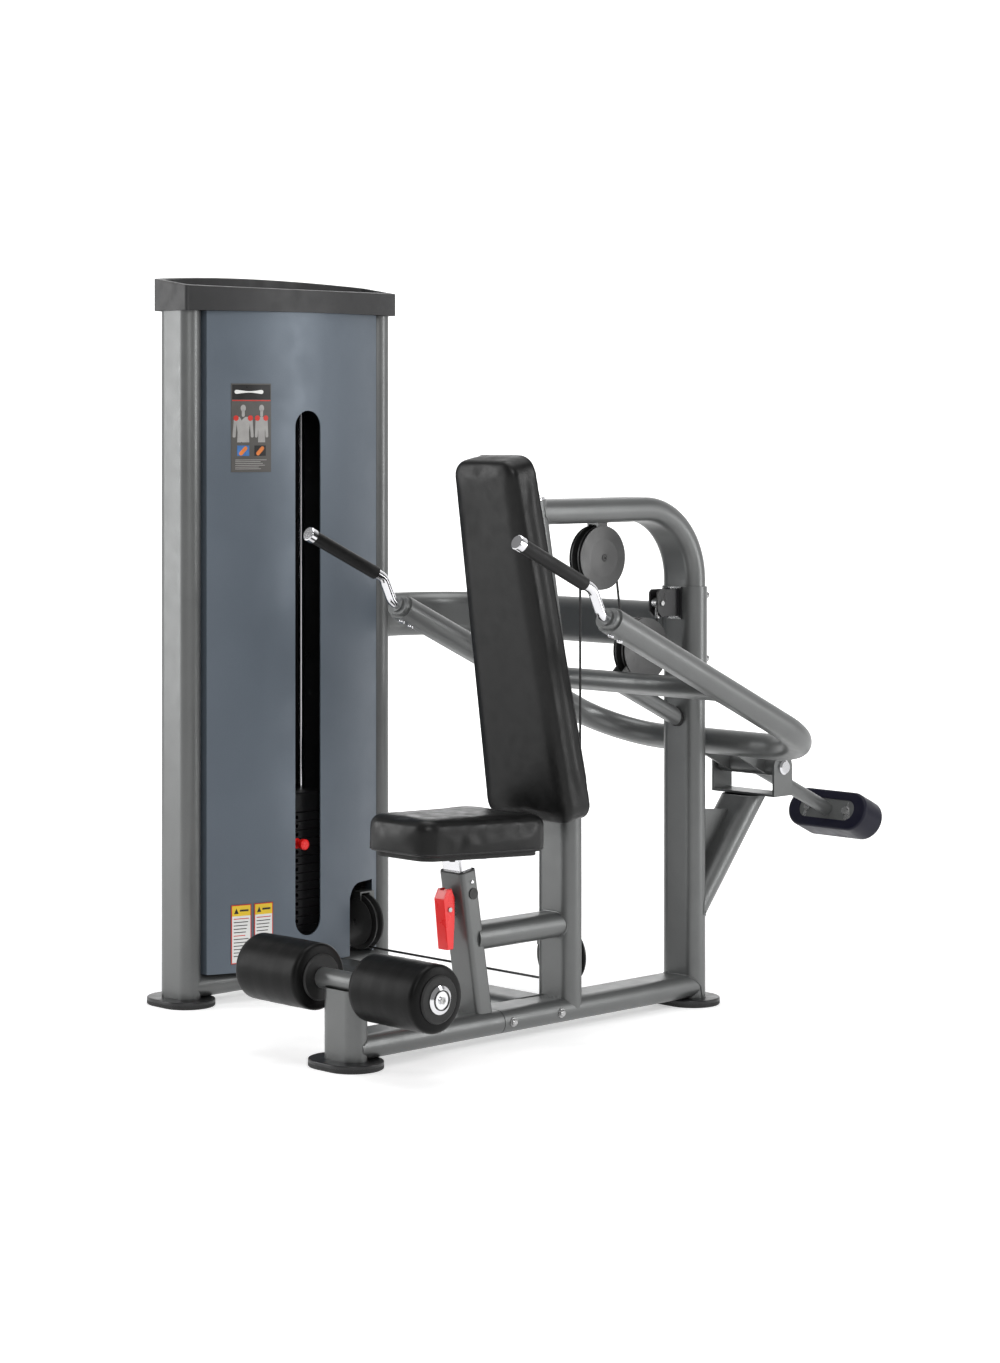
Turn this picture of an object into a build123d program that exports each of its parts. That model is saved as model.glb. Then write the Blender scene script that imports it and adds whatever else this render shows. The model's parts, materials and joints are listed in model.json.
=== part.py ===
from build123d import *
from math import asin, atan2, cos, degrees, hypot, radians, sin
import os

# Seated press machine with a selectorised weight stack, in millimetres.
# X runs across the machine: the press arm's centre plane is X = 0 and the weight tower is at -X.
# Y runs from the ankle rollers (Y = 0) to the counterweight behind the rear post. Z is up.
# The origin is on the floor under the front post. The press arm is modelled on its upper stop.

# ---- frame tubes ----
WALL = 3
TUBE = (120, 60)
RAIL = (120, 56)
FRONT_POST = (116, 60)
BRACE = (94, 60)
FOOT_SIZE = (190, 140)
FOOT_RUBBER = 10
FOOT_STEEL = 8
BASE_Z = FOOT_RUBBER + FOOT_STEEL
RAIL_Z = BASE_Z + RAIL[1] / 2
RAIL_TOP = BASE_Z + RAIL[1]
SPLIT_Y = 447
SPLIT_GAP = 1
BACK_POST_Y = 691
REAR_POST_Y = 1136
POST_FRONT_FACE = REAR_POST_Y - TUBE[1] / 2
COLLAR_T = 4.5
COLLAR_Z = (850, 1047)
TOP_TUBE_Z = 1244
TOP_TUBE_BOTTOM = TOP_TUBE_Z - TUBE[1] / 2
TOP_BEND = 180
LINK_SIZE = (116, 60)
LINK_Z = 946
LINK_BEND = 240
CROSS_BASE_Y = 630
BRACE_Z = 250

# ---- weight tower ----
TOWER_X = -862
TOWER_FRONT_Y = 211
TOWER_REAR_Y = 845
TOWER_Y = (TOWER_FRONT_Y + TOWER_REAR_Y) / 2
TOWER_TOP = 1738
PANEL_FOOT = 76
PANEL_BULGE = 120
PANEL_HALF_WIDTH = 62
PANEL_FRONT_Y = 243
PANEL_REAR_Y = 813
PANEL_T = 3
SLOT_WIDTH = 85
SLOT_Z = (150, 1488)
TOP_BEAM_Z = 1550
TOP_BEAM = (40, 40)

# ---- weight stack ----
PLATE_SIZE = (150, 280)
PLATE_PITCH = 22.2
PLATE_T = 21.4
STACK_Z = 125
LOWER_PLATES = 11
LIFTED_PLATES = 4
HEAD_T = 50
ROD_R = 10
ROD_OFFSET = 78
SELECTOR_R = 12.5
PIN_R = 4.8

# ---- press arm: (u, w) are along the arm's plane, down to the rear, and square to it ----
ARM_START = (494, 1006)
ARM_SLOPE = 25.2
ARM_X = 355
ARM_TUBE = (76, 60)
ARM_BEND = 175
REAR_TUBE_U = 843
CROSSBAR_U = 438
CROSSBAR = (66, 46)
STOP_STUB = (50, 40)
PIVOT = (1393, 579)
AXLE_R = 12.5
RUNNING_FIT = 0.05
CLEARANCE = 0.4
HUB_R = 25
EAR_X = 100
EAR_T = 6
COUNTERWEIGHT = (260, 105, 80)
COUNTERWEIGHT_REACH = 328
GRIP_OFFSET = 42
HANDLE_R = 12.5
GRIP_R = 16

# ---- pulleys and cable ----
CABLE_R = 3
CABLE_WRAP = 60
CABLE_Y = 760
TOP_PULLEY = (0, CABLE_Y + CABLE_WRAP, 1128)
FLOAT_PULLEY = (0, 975, 896)
LOW_WRAP = 64
LOW_PULLEY = (-LOW_WRAP, CABLE_Y, 154)
TOWER_PULLEY = (TOWER_X + LOW_WRAP, CABLE_Y, 154)
HEAD_WRAP = 45
HEAD_PULLEY_Z = 1650
WHEEL_HALF = 13
STRAP_T = 4

# ---- seat and pads ----
SEAT_FOOT = (406, 60)
SEAT_HEAD = (349, 409)
SEAT_POST = (80, 50)
SLIDER = (66, 36)
SEAT_TILT = -2
SEAT_Z = 460
SEAT_T = 82
LEVER_PIVOT = (307.5, 324)
BACK_LEAN = 10.33
BACK_CENTRE = (0, 546, 943.5)
BACK_LENGTH = 880
BACK_T = 78
BACK_FRONT = 45
BOARD_T = 12
BACK_PLATE_T = 6
BACK_POST_BEND = 250
BACK_POST_TOP = 1274
ROLLER_Z = 192
ROLLER_R = 77.5
ROLLER_X = (88, 305)

# Pieces that are welded or fastened together and share one node, each still its own solid.
GROUPS = {
    "floor_rails": ("rail_front", "rail_rear", "rail_sleeve", "cross_base"),
    "frame_bolts": ("rail_bolts", "collar_bolts"),
    "link_beam": ("link_beam", "link_collar"),
    "strut": ("strut", "strut_gusset"),
    "pivot_axle": ("pivot_axle", "pivot_caps"),
    "seat_post": ("seat_post", "seat_brace"),
    "seat_slider": ("seat_slider", "seat_plate", "seat_bolts"),
    "lever_bracket": ("lever_bracket", "lever_pin"),
    "frame_plugs": ("back_post_cap", "seat_bush", "seat_post_plug", "seat_post_screw"),
    "tower_frame": ("tower_front_post", "tower_rear_post", "tower_base", "tower_top_beam"),
    "placards": ("placard", "panel_labels"),
    "head_plate": ("head_plate", "selector_rod", "stack_cable_end"),
    "selector_pin": ("selector_pin", "selector_knob"),
    "pulley_brackets": ("pulley_top_bracket", "pulley_low_bracket", "pulley_tower_bracket",
                        "pulley_head_brackets", "pulley_covers"),
    "pulley_float_fork": ("pulley_float_fork", "pulley_float_covers"),
    "cable_spans": ("cable_span_front", "cable_span_rear"),
    "cable_anchor": ("cable_anchor", "cable_anchor_pin", "cable_anchor_fitting"),
    "crossbar": ("crossbar", "stop_stub"),
    "pivot_hub": ("pivot_hub", "yoke_lugs"),
    "counterweight_bar": ("counterweight_bar", "counterweight_plate", "counterweight_bolts"),
    "handles": ("handles", "grip_caps"),
    "handle_sockets": ("handle_sockets", "handle_screws"),
}

nodes = {}


def plane_at(point, normal, x_dir=(1, 0, 0)):
    """A working plane at a point, facing along normal."""
    return Plane(origin=point, x_dir=x_dir, z_dir=normal)


def oval(size):
    """Flat-oval outline, its long side along local X."""
    return SlotOverall(size[0], size[1])


def oval_ring(size, wall=WALL):
    """Section of a flat-oval tube."""
    return oval(size) - SlotOverall(size[0] - 2 * wall, size[1] - 2 * wall)


def run(section, start, end, x_dir=(1, 0, 0)):
    """Straight prism of a section from start to end."""
    way = Vector(end) - Vector(start)
    return extrude(plane_at(start, way, x_dir) * section, way.length)


def bent(section, path, x_dir=(1, 0, 0)):
    """Section swept along a path of lines and arcs."""
    return sweep(plane_at(path @ 0, path % 0, x_dir) * section, path=path)


def block(low, high):
    """Box between two corners."""
    size = [h - l for l, h in zip(low, high)]
    middle = [(h + l) / 2 for l, h in zip(low, high)]
    return Pos(*middle) * Box(*size)


def rod(radius, start, end):
    """Round bar from start to end."""
    x_dir = (0, 1, 0) if abs(end[0] - start[0]) > 0 else (1, 0, 0)
    return run(Circle(radius), start, end, x_dir)


def side_plate(outline, x_low, x_high):
    """Plate parallel to the Y-Z plane from a closed list of (y, z) points."""
    face = make_face(Polyline(*[(x_low, y, z) for y, z in outline], close=True))
    return extrude(face, x_high - x_low, dir=(1, 0, 0))


def turned(profile, origin, axis, x_dir=(1, 0, 0)):
    """Solid of revolution from (radius, height) points, its axis along the given direction."""
    face = make_face(Plane.XZ * Polyline(*profile, close=True))
    return plane_at(origin, axis, x_dir) * revolve(face, Axis.Z)


def arm_point(u, w, x=0):
    """Point of the press arm's plane: u along it, w square to it."""
    slope = radians(ARM_SLOPE)
    y = ARM_START[0] + u * cos(slope) + w * sin(slope)
    z = ARM_START[1] - u * sin(slope) + w * cos(slope)
    return (x, y, z)


ARM_ALONG = Vector(arm_point(1, 0)) - Vector(arm_point(0, 0))
ARM_UP = Vector(arm_point(0, 1)) - Vector(arm_point(0, 0))
PIVOT_DY = PIVOT[0] - ARM_START[0]
PIVOT_DZ = PIVOT[1] - ARM_START[1]
PIVOT_U = ARM_ALONG.dot(Vector(0, PIVOT_DY, PIVOT_DZ))
PIVOT_W = ARM_UP.dot(Vector(0, PIVOT_DY, PIVOT_DZ))


# ---------------------------------------------------------------- frame
def foot(x, y):
    """Rubber pad and steel plate under one post."""
    rubber = extrude(Pos(x, y, 0) * oval(FOOT_SIZE), FOOT_RUBBER)
    rubber = chamfer(rubber.edges().group_by(Axis.Z)[0], 2)
    steel = extrude(Pos(x, y, FOOT_RUBBER) * oval(FOOT_SIZE), FOOT_STEEL)
    steel = fillet(steel.edges().group_by(Axis.Z)[-1], 3)
    return rubber, steel


def make_feet():
    places = [(0, 0), (0, REAR_POST_Y), (TOWER_X, TOWER_FRONT_Y), (TOWER_X, TOWER_REAR_Y)]
    pairs = [foot(x, y) for x, y in places]
    nodes["foot_pads"] = Compound(children=[rubber for rubber, steel in pairs])
    nodes["foot_plates"] = Compound(children=[steel for rubber, steel in pairs])


def upright(size, x, y, low, high, section=oval_ring):
    return run(section(size), (x, y, low), (x, y, high))


def make_floor_frame():
    front_solid = upright(FRONT_POST, 0, 0, BASE_Z, ROLLER_Z, oval)
    rear_solid = upright(TUBE, 0, REAR_POST_Y, BASE_Z, 500, oval)
    rail_ring = oval_ring(RAIL)
    x_dir = (1, 0, 0)
    front = run(rail_ring, (0, 0, RAIL_Z), (0, SPLIT_Y - SPLIT_GAP, RAIL_Z), x_dir) - front_solid
    rear = run(rail_ring, (0, SPLIT_Y + SPLIT_GAP, RAIL_Z), (0, REAR_POST_Y, RAIL_Z), x_dir) - rear_solid
    rail_solid = run(oval(RAIL), (0, 0, RAIL_Z), (0, REAR_POST_Y, RAIL_Z), x_dir)
    nodes["rail_front"] = front
    nodes["rail_rear"] = rear
    sleeve = (RAIL[0] - 2 * WALL - 1, RAIL[1] - 2 * WALL - 1)
    nodes["rail_sleeve"] = run(oval_ring(sleeve, 4), (0, 380, RAIL_Z), (0, 665, RAIL_Z), x_dir)
    shaft = rod(24, (-80, 0, ROLLER_Z), (80, 0, ROLLER_Z))
    post_top = ROLLER_Z - 14
    nodes["front_post"] = upright(FRONT_POST, 0, 0, BASE_Z, post_top) - shaft
    beam_solid = run(oval(RAIL), (TOWER_X, TOWER_FRONT_Y, RAIL_Z), (TOWER_X, TOWER_REAR_Y, RAIL_Z))
    cross = run(rail_ring, (0, CROSS_BASE_Y, RAIL_Z), (TOWER_X, CROSS_BASE_Y, RAIL_Z), (0, 1, 0))
    nodes["cross_base"] = cross - rail_solid - beam_solid
    heads = []
    for y in (SPLIT_Y + 27, SPLIT_Y + 188):
        washer = rod(11, (56, y, RAIL_Z), (61.5, y, RAIL_Z))
        head = rod(8, (61.5, y, RAIL_Z), (68, y, RAIL_Z))
        heads.append(washer + chamfer(head.edges().group_by(Axis.X)[-1], 2) - rail_solid)
    nodes["rail_bolts"] = Compound(children=heads)


def back_post_path():
    """Centre line of the back post: upright, then leaning forward behind the back pad."""
    lean = radians(BACK_LEAN)
    behind_pad = BACK_T - BACK_FRONT + BOARD_T + BACK_PLATE_T + TUBE[1] / 2
    ahead = (BACK_POST_Y - BACK_CENTRE[1]) * cos(lean) - behind_pad
    bend_z = BACK_CENTRE[2] - ahead / sin(lean)
    top_y = BACK_POST_Y - (BACK_POST_TOP - bend_z) * sin(lean) / cos(lean)
    return FilletPolyline((0, BACK_POST_Y, RAIL_Z), (0, BACK_POST_Y, bend_z), (0, top_y, BACK_POST_TOP),
                          radius=BACK_POST_BEND)


def make_main_posts():
    rail_solid = run(oval(RAIL), (0, 0, RAIL_Z), (0, REAR_POST_Y, RAIL_Z))
    back_path = back_post_path()
    back_solid = bent(oval(TUBE), back_path)
    path = FilletPolyline(
        (0, REAR_POST_Y, BASE_Z), (0, REAR_POST_Y, TOP_TUBE_Z), (0, (back_path @ 1).Y + 6, TOP_TUBE_Z),
        radius=TOP_BEND,
    )
    nodes["rear_post"] = bent(oval_ring(TUBE), path) - back_solid
    cross_solid = run(oval(RAIL), (0, CROSS_BASE_Y, RAIL_Z), (-200, CROSS_BASE_Y, RAIL_Z), (0, 1, 0))
    nodes["back_post"] = bent(oval_ring(TUBE), back_path) - rail_solid - cross_solid
    cap = extrude(plane_at(back_path @ 1, back_path % 1) * oval(TUBE), 6)
    nodes["back_post_cap"] = fillet(cap.edges().group_by(Axis.Z)[-1], 3)


def make_link_beam():
    rear_solid = upright(TUBE, 0, REAR_POST_Y, BASE_Z, 1060, oval)
    collar_size = (TUBE[0] + 2 * COLLAR_T, TUBE[1] + 2 * COLLAR_T)
    collar_solid = upright(collar_size, 0, REAR_POST_Y, *COLLAR_Z, oval)
    path = FilletPolyline(
        (0, REAR_POST_Y, LINK_Z), (TOWER_X, REAR_POST_Y, LINK_Z), (TOWER_X, TOWER_REAR_Y, LINK_Z),
        radius=LINK_BEND,
    )
    tower_solid = upright(TUBE, TOWER_X, TOWER_REAR_Y, BASE_Z, TOWER_TOP, oval)
    beam = bent(oval_ring(LINK_SIZE), path, (0, 0, 1))
    nodes["link_beam"] = beam - collar_solid - tower_solid
    nodes["link_collar"] = collar_solid - rear_solid
    rear_face = REAR_POST_Y + collar_size[1] / 2
    heads = []
    for z in (1024, 865):
        for x in (-40, 40):
            washer = rod(10, (x, rear_face - 6, z), (x, rear_face, z))
            head = rod(7.5, (x, rear_face, z), (x, rear_face + 8, z))
            bolt = washer + chamfer(head.edges().group_by(Axis.Y)[-1], 1.5)
            heads.append(bolt - collar_solid)
    nodes["collar_bolts"] = Compound(children=heads)


def make_pivot_support():
    rear_solid = upright(TUBE, 0, REAR_POST_Y, BASE_Z, 600, oval)
    low, high = Vector(0, 1143, 239), Vector(0, 1409, 562)
    channel = block((-200, 1300, 505), (200, 1500, 700))
    strut = run(oval_ring(TUBE), low, high) - rear_solid - channel
    nodes["strut"] = strut.solids().sort_by(SortBy.VOLUME)[-1]
    strut_solid = run(oval(TUBE), low, high)
    gusset = side_plate([(1150, 300), (1150, 485), (1320, 470), (1200, 330)], -4, 4)
    pieces = (gusset - rear_solid - strut_solid).solids()
    nodes["strut_gusset"] = pieces.sort_by(SortBy.VOLUME)[-1]
    front, rear, foot_z = 1357, 1428, 505
    floor = block((-EAR_X - EAR_T, front, foot_z), (EAR_X + EAR_T, rear, foot_z + EAR_T))
    bracket = floor
    for side in (-1, 1):
        inner, outer = sorted((side * EAR_X, side * (EAR_X + EAR_T)))
        bracket += block((inner, front, foot_z), (outer, rear, PIVOT[1]))
        bracket += rod((rear - front) / 2, (inner, (front + rear) / 2, PIVOT[1]),
                       (outer, (front + rear) / 2, PIVOT[1])) - block(
                           (inner - 1, front - 1, 400), (outer + 1, rear + 1, PIVOT[1]))
    pin = rod(AXLE_R, (-EAR_X - EAR_T - 6, *PIVOT), (EAR_X + EAR_T + 6, *PIVOT))
    nodes["pivot_bracket"] = bracket - pin
    nodes["pivot_axle"] = pin
    caps = []
    for side in (-1, 1):
        start = EAR_X + EAR_T
        profile = [(AXLE_R, start), (19, start), (19, start + 5), (15, start + 9),
                   (0, start + 9), (0, start + 6), (AXLE_R, start + 6)]
        caps.append(turned(profile, (0, *PIVOT), (side, 0, 0), (0, 1, 0)))
    nodes["pivot_caps"] = Compound(children=caps)


# ---------------------------------------------------------------- seat, pads and rollers
def seat_axis(distance, forward=0):
    """Point of the seat post's centre line, measured up from its foot."""
    way = Vector(0, SEAT_HEAD[0] - SEAT_FOOT[0], SEAT_HEAD[1] - SEAT_FOOT[1])
    up = way.normalized()
    ahead = Vector(0, -up.Z, up.Y)
    return Vector(0, *SEAT_FOOT) + up * distance + ahead * forward


SEAT_POST_LENGTH = hypot(SEAT_HEAD[0] - SEAT_FOOT[0], SEAT_HEAD[1] - SEAT_FOOT[1])


def rounded_ring(size, radius, wall):
    inner = RectangleRounded(size[0] - 2 * wall, size[1] - 2 * wall, radius - wall)
    return RectangleRounded(*size, radius) - inner


def tilted(shape):
    """The seat's small backward tilt about its own centre."""
    return Pos(0, 330, SEAT_Z) * Rot(SEAT_TILT, 0, 0) * Pos(0, -330, -SEAT_Z) * shape


def seat_outline(inset=0):
    """Plan of the seat: narrow at the front, wide at the back, with round corners."""
    front, rear = 145 + inset, 520 - inset
    points = [(-107 + inset, front), (107 - inset, front), (146 - inset, rear), (-146 + inset, rear)]
    face = make_face(Polyline(*points, close=True))
    return fillet(face.vertices(), 46 - inset / 2)


def make_seat():
    rail_solid = run(oval(RAIL), (0, 0, RAIL_Z), (0, REAR_POST_Y, RAIL_Z))
    low, high = seat_axis(-20), seat_axis(SEAT_POST_LENGTH)
    post = run(rounded_ring(SEAT_POST, 12, WALL), low, high) - rail_solid
    nodes["seat_post"] = post.solids().sort_by(SortBy.VOLUME)[-1]
    post_solid = run(RectangleRounded(*SEAT_POST, 12), low, high)
    brace = run(oval_ring(BRACE), (0, 380, BRACE_Z), (0, BACK_POST_Y, BRACE_Z))
    back_solid = upright(TUBE, 0, BACK_POST_Y, RAIL_TOP, 600, oval)
    pieces = (brace - post_solid - back_solid).solids()
    nodes["seat_brace"] = pieces.sort_by(Axis.Y)[-1]
    bush = RectangleRounded(73.8, 43.8, 9.2) - RectangleRounded(SLIDER[0] + 0.2, SLIDER[1] + 0.2, 5)
    lip = RectangleRounded(78, 48, 10) - RectangleRounded(SLIDER[0] + 0.2, SLIDER[1] + 0.2, 5)
    top = seat_axis(SEAT_POST_LENGTH)
    nodes["seat_bush"] = (run(bush, seat_axis(SEAT_POST_LENGTH - 60), top)
                          + run(lip, top, seat_axis(SEAT_POST_LENGTH + 4)))
    slider = run(rounded_ring(SLIDER, 5, 2.5), seat_axis(SEAT_POST_LENGTH - 210),
                 seat_axis(SEAT_POST_LENGTH + 60))
    plate_z = SEAT_Z - 10
    plate = tilted(block((-70, 270, plate_z - 5), (70, 400, plate_z)))
    above = tilted(block((-100, 200, plate_z - 5), (100, 500, plate_z + 100)))
    nodes["seat_slider"] = slider - above
    nodes["seat_plate"] = plate
    heads = [rod(7, (x, y, plate_z - 10), (x, y, plate_z - 5)) for x in (-50, 50) for y in (285, 385)]
    nodes["seat_bolts"] = Compound(children=[tilted(head) for head in heads])
    nodes["seat_board"] = tilted(extrude(Pos(0, 0, plate_z) * seat_outline(16), 10))
    pad = extrude(Pos(0, 0, SEAT_Z) * seat_outline(), SEAT_T)
    pad = fillet(pad.edges().group_by(Axis.Z)[-1], 22)
    nodes["seat_pad"] = tilted(fillet(pad.edges().group_by(Axis.Z)[0], 6))


def make_seat_lever():
    y, z = LEVER_PIVOT
    outline = [(300, 372), (315, 372), (325, 350), (325, 300), (321, 232), (318, 230), (301, 230), (288, 350)]
    lever = chamfer(side_plate(outline, -16.5, 16.5).edges().filter_by(Axis.X, reverse=True), 1.5)
    slot = block((-8, y - 9, z - 40), (8, 400, z + 60))
    pin = rod(3, (-17.5, y, z), (17.5, y, z))
    nodes["seat_lever"] = lever - slot - rod(3 + RUNNING_FIT, (-20, y, z), (20, y, z))
    post_solid = run(RectangleRounded(*SEAT_POST, 12), seat_axis(-20), seat_axis(SEAT_POST_LENGTH))
    lug = side_plate([(y - 6, z - 6), (y - 6, z + 6), (345, z + 22), (345, z - 22)], -6, 6)
    nodes["lever_bracket"] = lug - post_solid - pin
    screws = [rod(5.5, (side * 17, y, z), (side * 20, y, z)) for side in (-1, 1)]
    nodes["lever_pin"] = pin + screws[0] + screws[1]
    centre = seat_axis(SEAT_POST_LENGTH - 52, -4)
    x = SEAT_POST[0] / 2
    nodes["seat_post_plug"] = rod(13.5, (x, centre.Y, centre.Z), (x + 2.5, centre.Y, centre.Z))
    screw = seat_axis(SEAT_POST_LENGTH - 24, -4)
    head = rod(5, (x, screw.Y, screw.Z), (x + 3, screw.Y, screw.Z))
    nodes["seat_post_screw"] = fillet(head.edges().group_by(Axis.X)[-1], 1.5)


def back_place():
    """Plane of the back pad: local Y up the pad, local Z out of its front."""
    lean = radians(BACK_LEAN)
    return Plane(origin=BACK_CENTRE, x_dir=(1, 0, 0), z_dir=(0, -cos(lean), -sin(lean)))


def back_outline(inset, bottom_inset):
    low, high = -BACK_LENGTH / 2 + bottom_inset, BACK_LENGTH / 2 - inset
    points = [(-146 + inset, low), (146 - inset, low), (104 - inset, high), (-104 + inset, high)]
    face = make_face(Polyline(*points, close=True))
    return fillet(face.vertices(), 42 - inset / 2)


def make_back_pad():
    place = back_place()
    rear = BACK_FRONT - BACK_T
    pad = extrude(Pos(0, 0, rear) * back_outline(0, 0), BACK_T)
    pad = fillet(pad.edges().group_by(Axis.Z)[-1], 18)
    nodes["back_pad"] = place * fillet(pad.edges().group_by(Axis.Z)[0], 5)
    nodes["back_pad_board"] = place * extrude(Pos(0, 0, rear - BOARD_T) * back_outline(18, 62), BOARD_T)
    plate_z = rear - BOARD_T - BACK_PLATE_T / 2
    plates = [place * Pos(0, y, plate_z) * Box(150, 60, BACK_PLATE_T) for y in (-220, 250)]
    nodes["back_pad_brackets"] = Compound(children=plates)


def make_rollers():
    z = ROLLER_Z
    spindle = rod(10, (-312, 0, z), (312, 0, z))
    nodes["roller_shaft"] = rod(24, (-80, 0, z), (80, 0, z)) + spindle
    caps = []
    near, far = ROLLER_X
    for side, name in ((-1, "left"), (1, "right")):
        sleeve_r, bore = 30, 10 + RUNNING_FIT
        foam = [(sleeve_r, near), (ROLLER_R - 9, near), (ROLLER_R - 3, near + 3), (ROLLER_R, near + 9),
                (ROLLER_R, far - 9), (ROLLER_R - 3, far - 3), (ROLLER_R - 9, far),
                (sleeve_r, far)]
        hub = [(bore, near - 6), (50, near - 6), (53.5, near - 3), (53.5, near), (sleeve_r, near),
               (sleeve_r, far), (53.5, far), (53.5, far + 3), (50, far + 6), (bore, far + 6)]
        cap = [(0, 312), (0, 321), (9, 321), (9, 318), (24, 318), (32, 313.5), (32, 312)]
        place = ((0, 0, z), (side, 0, 0), (0, 1, 0))
        nodes["roller_foam_" + name] = turned(foam, *place)
        nodes["roller_hub_" + name] = turned(hub, *place)
        caps.append(turned(cap, *place))
    nodes["roller_end_caps"] = Compound(children=caps)


# ---------------------------------------------------------------- weight tower
def panel_outline(side):
    """Plan of one bowed sheet panel with a flange at each end."""
    edge, flange = side * PANEL_HALF_WIDTH, side * 22
    inner = edge - side * PANEL_T
    front, rear = PANEL_FRONT_Y, PANEL_REAR_Y
    outer_arc = ThreePointArc((edge, front), (side * PANEL_BULGE, TOWER_Y), (edge, rear))
    inner_top = (side * (PANEL_BULGE - PANEL_T), TOWER_Y)
    inner_arc = ThreePointArc((inner, rear - PANEL_T), inner_top, (inner, front + PANEL_T))
    lines = [
        Line((flange, front), (edge, front)), outer_arc, Line((edge, rear), (flange, rear)),
        Line((flange, rear), (flange, rear - PANEL_T)), Line((flange, rear - PANEL_T), (inner, rear - PANEL_T)),
        inner_arc, Line((inner, front + PANEL_T), (flange, front + PANEL_T)),
        Line((flange, front + PANEL_T), (flange, front)),
    ]
    return make_face(lines)


def make_tower_frame():
    for name, y in (("tower_front_post", TOWER_FRONT_Y), ("tower_rear_post", TOWER_REAR_Y)):
        nodes[name] = upright(TUBE, TOWER_X, y, BASE_Z, TOWER_TOP)
    front = upright(TUBE, TOWER_X, TOWER_FRONT_Y, 0, TOWER_TOP, oval)
    rear = upright(TUBE, TOWER_X, TOWER_REAR_Y, 0, TOWER_TOP, oval)
    beam = run(oval_ring(RAIL), (TOWER_X, TOWER_FRONT_Y, RAIL_Z), (TOWER_X, TOWER_REAR_Y, RAIL_Z))
    nodes["tower_base"] = beam - front - rear
    ring = Rectangle(*TOP_BEAM) - Rectangle(TOP_BEAM[0] - 2 * WALL, TOP_BEAM[1] - 2 * WALL)
    top = run(ring, (TOWER_X, TOWER_FRONT_Y, TOP_BEAM_Z), (TOWER_X, TOWER_REAR_Y, TOP_BEAM_Z))
    for y in (TOWER_Y, CABLE_Y):
        top -= rod(9, (TOWER_X, y, 1500), (TOWER_X, y, 1600))
    nodes["tower_top_beam"] = top - front - rear


def make_tower_panels():
    height = TOWER_TOP - PANEL_FOOT
    for side, name in ((1, "panel_right"), (-1, "panel_left")):
        panel = extrude(Pos(TOWER_X, 0, PANEL_FOOT) * panel_outline(side), height)
        if side == 1:
            low, high = SLOT_Z
            slot = Plane.YZ * Pos(TOWER_Y, (low + high) / 2) * SlotOverall(high - low, SLOT_WIDTH, rotation=90)
            panel -= Pos(TOWER_X, 0, 0) * extrude(slot, 300)
            window = fillet(block((TOWER_X, 684, PANEL_FOOT - 60), (-700, 830, 262)).edges()
                            .filter_by(Axis.X).group_by(Axis.Y)[0], 45)
            panel -= window & block((TOWER_X, 684, PANEL_FOOT), (-700, 790, 262))
        nodes[name] = panel


def cap_outline(inset=0):
    """Plan of the tower's top cover, bowed on both sides from end to end."""
    half, bulge = 66 - inset, 126 - inset
    front, rear = 175 + inset, 881 - inset
    right = ThreePointArc((half, front), (bulge, TOWER_Y), (half, rear))
    left = ThreePointArc((-half, rear), (-bulge, TOWER_Y), (-half, front))
    return make_face([right, Line((half, rear), (-half, rear)), left, Line((-half, front), (half, front))])


def make_tower_cap():
    place = Pos(TOWER_X, 0, TOWER_TOP)
    cap = place * extrude(cap_outline(), 100)
    cap = fillet(cap.edges().filter_by(Axis.Z).group_by(Axis.Y)[0], 12)
    cap = fillet(cap.edges().filter_by(Axis.Z).group_by(Axis.Y)[-1], 12)
    near_x = TOWER_X + 126
    curve = ThreePointArc((near_x, 150, 1790), (near_x, TOWER_Y, 1794), (near_x, 900, 1786))
    sky = [Line((near_x, 900, 1786), (near_x, 900, 1900)), Line((near_x, 900, 1900), (near_x, 150, 1900)),
           Line((near_x, 150, 1900), (near_x, 150, 1790))]
    cutter = extrude(make_face([curve, *sky]), 280, dir=Vector(-1, 0, 0.15).normalized())
    cap -= cutter
    tray = fillet(cap_outline(18).vertices(), 24)
    cap -= Pos(TOWER_X, 0, 1760) * extrude(tray, 100)
    cap -= place * extrude(cap_outline(4), 18)
    nodes["tower_cap"] = cap


def panel_badge(y_low, y_high, z_low, z_high, thickness=1.2):
    """Thin plate that lies on the bowed right panel."""
    half = (PANEL_REAR_Y - PANEL_FRONT_Y) / 2
    rise = PANEL_BULGE - PANEL_HALF_WIDTH
    radius = (half ** 2 + rise ** 2) / (2 * rise)
    centre_x = TOWER_X + PANEL_BULGE - radius
    place = Pos(centre_x, TOWER_Y, (z_low + z_high) / 2)
    ring = Cylinder(radius + thickness, z_high - z_low) - Cylinder(radius, z_high - z_low)
    return (place * ring) & block((TOWER_X, y_low, z_low), (-600, y_high, z_high))


def make_placards():
    nodes["placard"] = panel_badge(303, 411, 1333, 1556)
    labels = [panel_badge(y, y + 54, 98, 247) for y in (302, 363)]
    nodes["panel_labels"] = Compound(children=labels)


# ---------------------------------------------------------------- weight stack
def stack_drills():
    """Holes for the guide rods, the selector rod and the pin, at any height."""
    low, high = STACK_Z - 10, STACK_Z + 600
    holes = [rod(ROD_R + 0.5, (TOWER_X, TOWER_Y + side * ROD_OFFSET, low),
                 (TOWER_X, TOWER_Y + side * ROD_OFFSET, high)) for side in (-1, 1)]
    return holes + [rod(SELECTOR_R + 0.5, (TOWER_X, TOWER_Y, low), (TOWER_X, TOWER_Y, high))]


def pin_hole(level, reach=PLATE_SIZE[0] / 2):
    z = STACK_Z + level * PLATE_PITCH + PLATE_T / 2
    return rod(5.5, (TOWER_X - 14, TOWER_Y, z), (TOWER_X + reach + 1, TOWER_Y, z))


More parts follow.
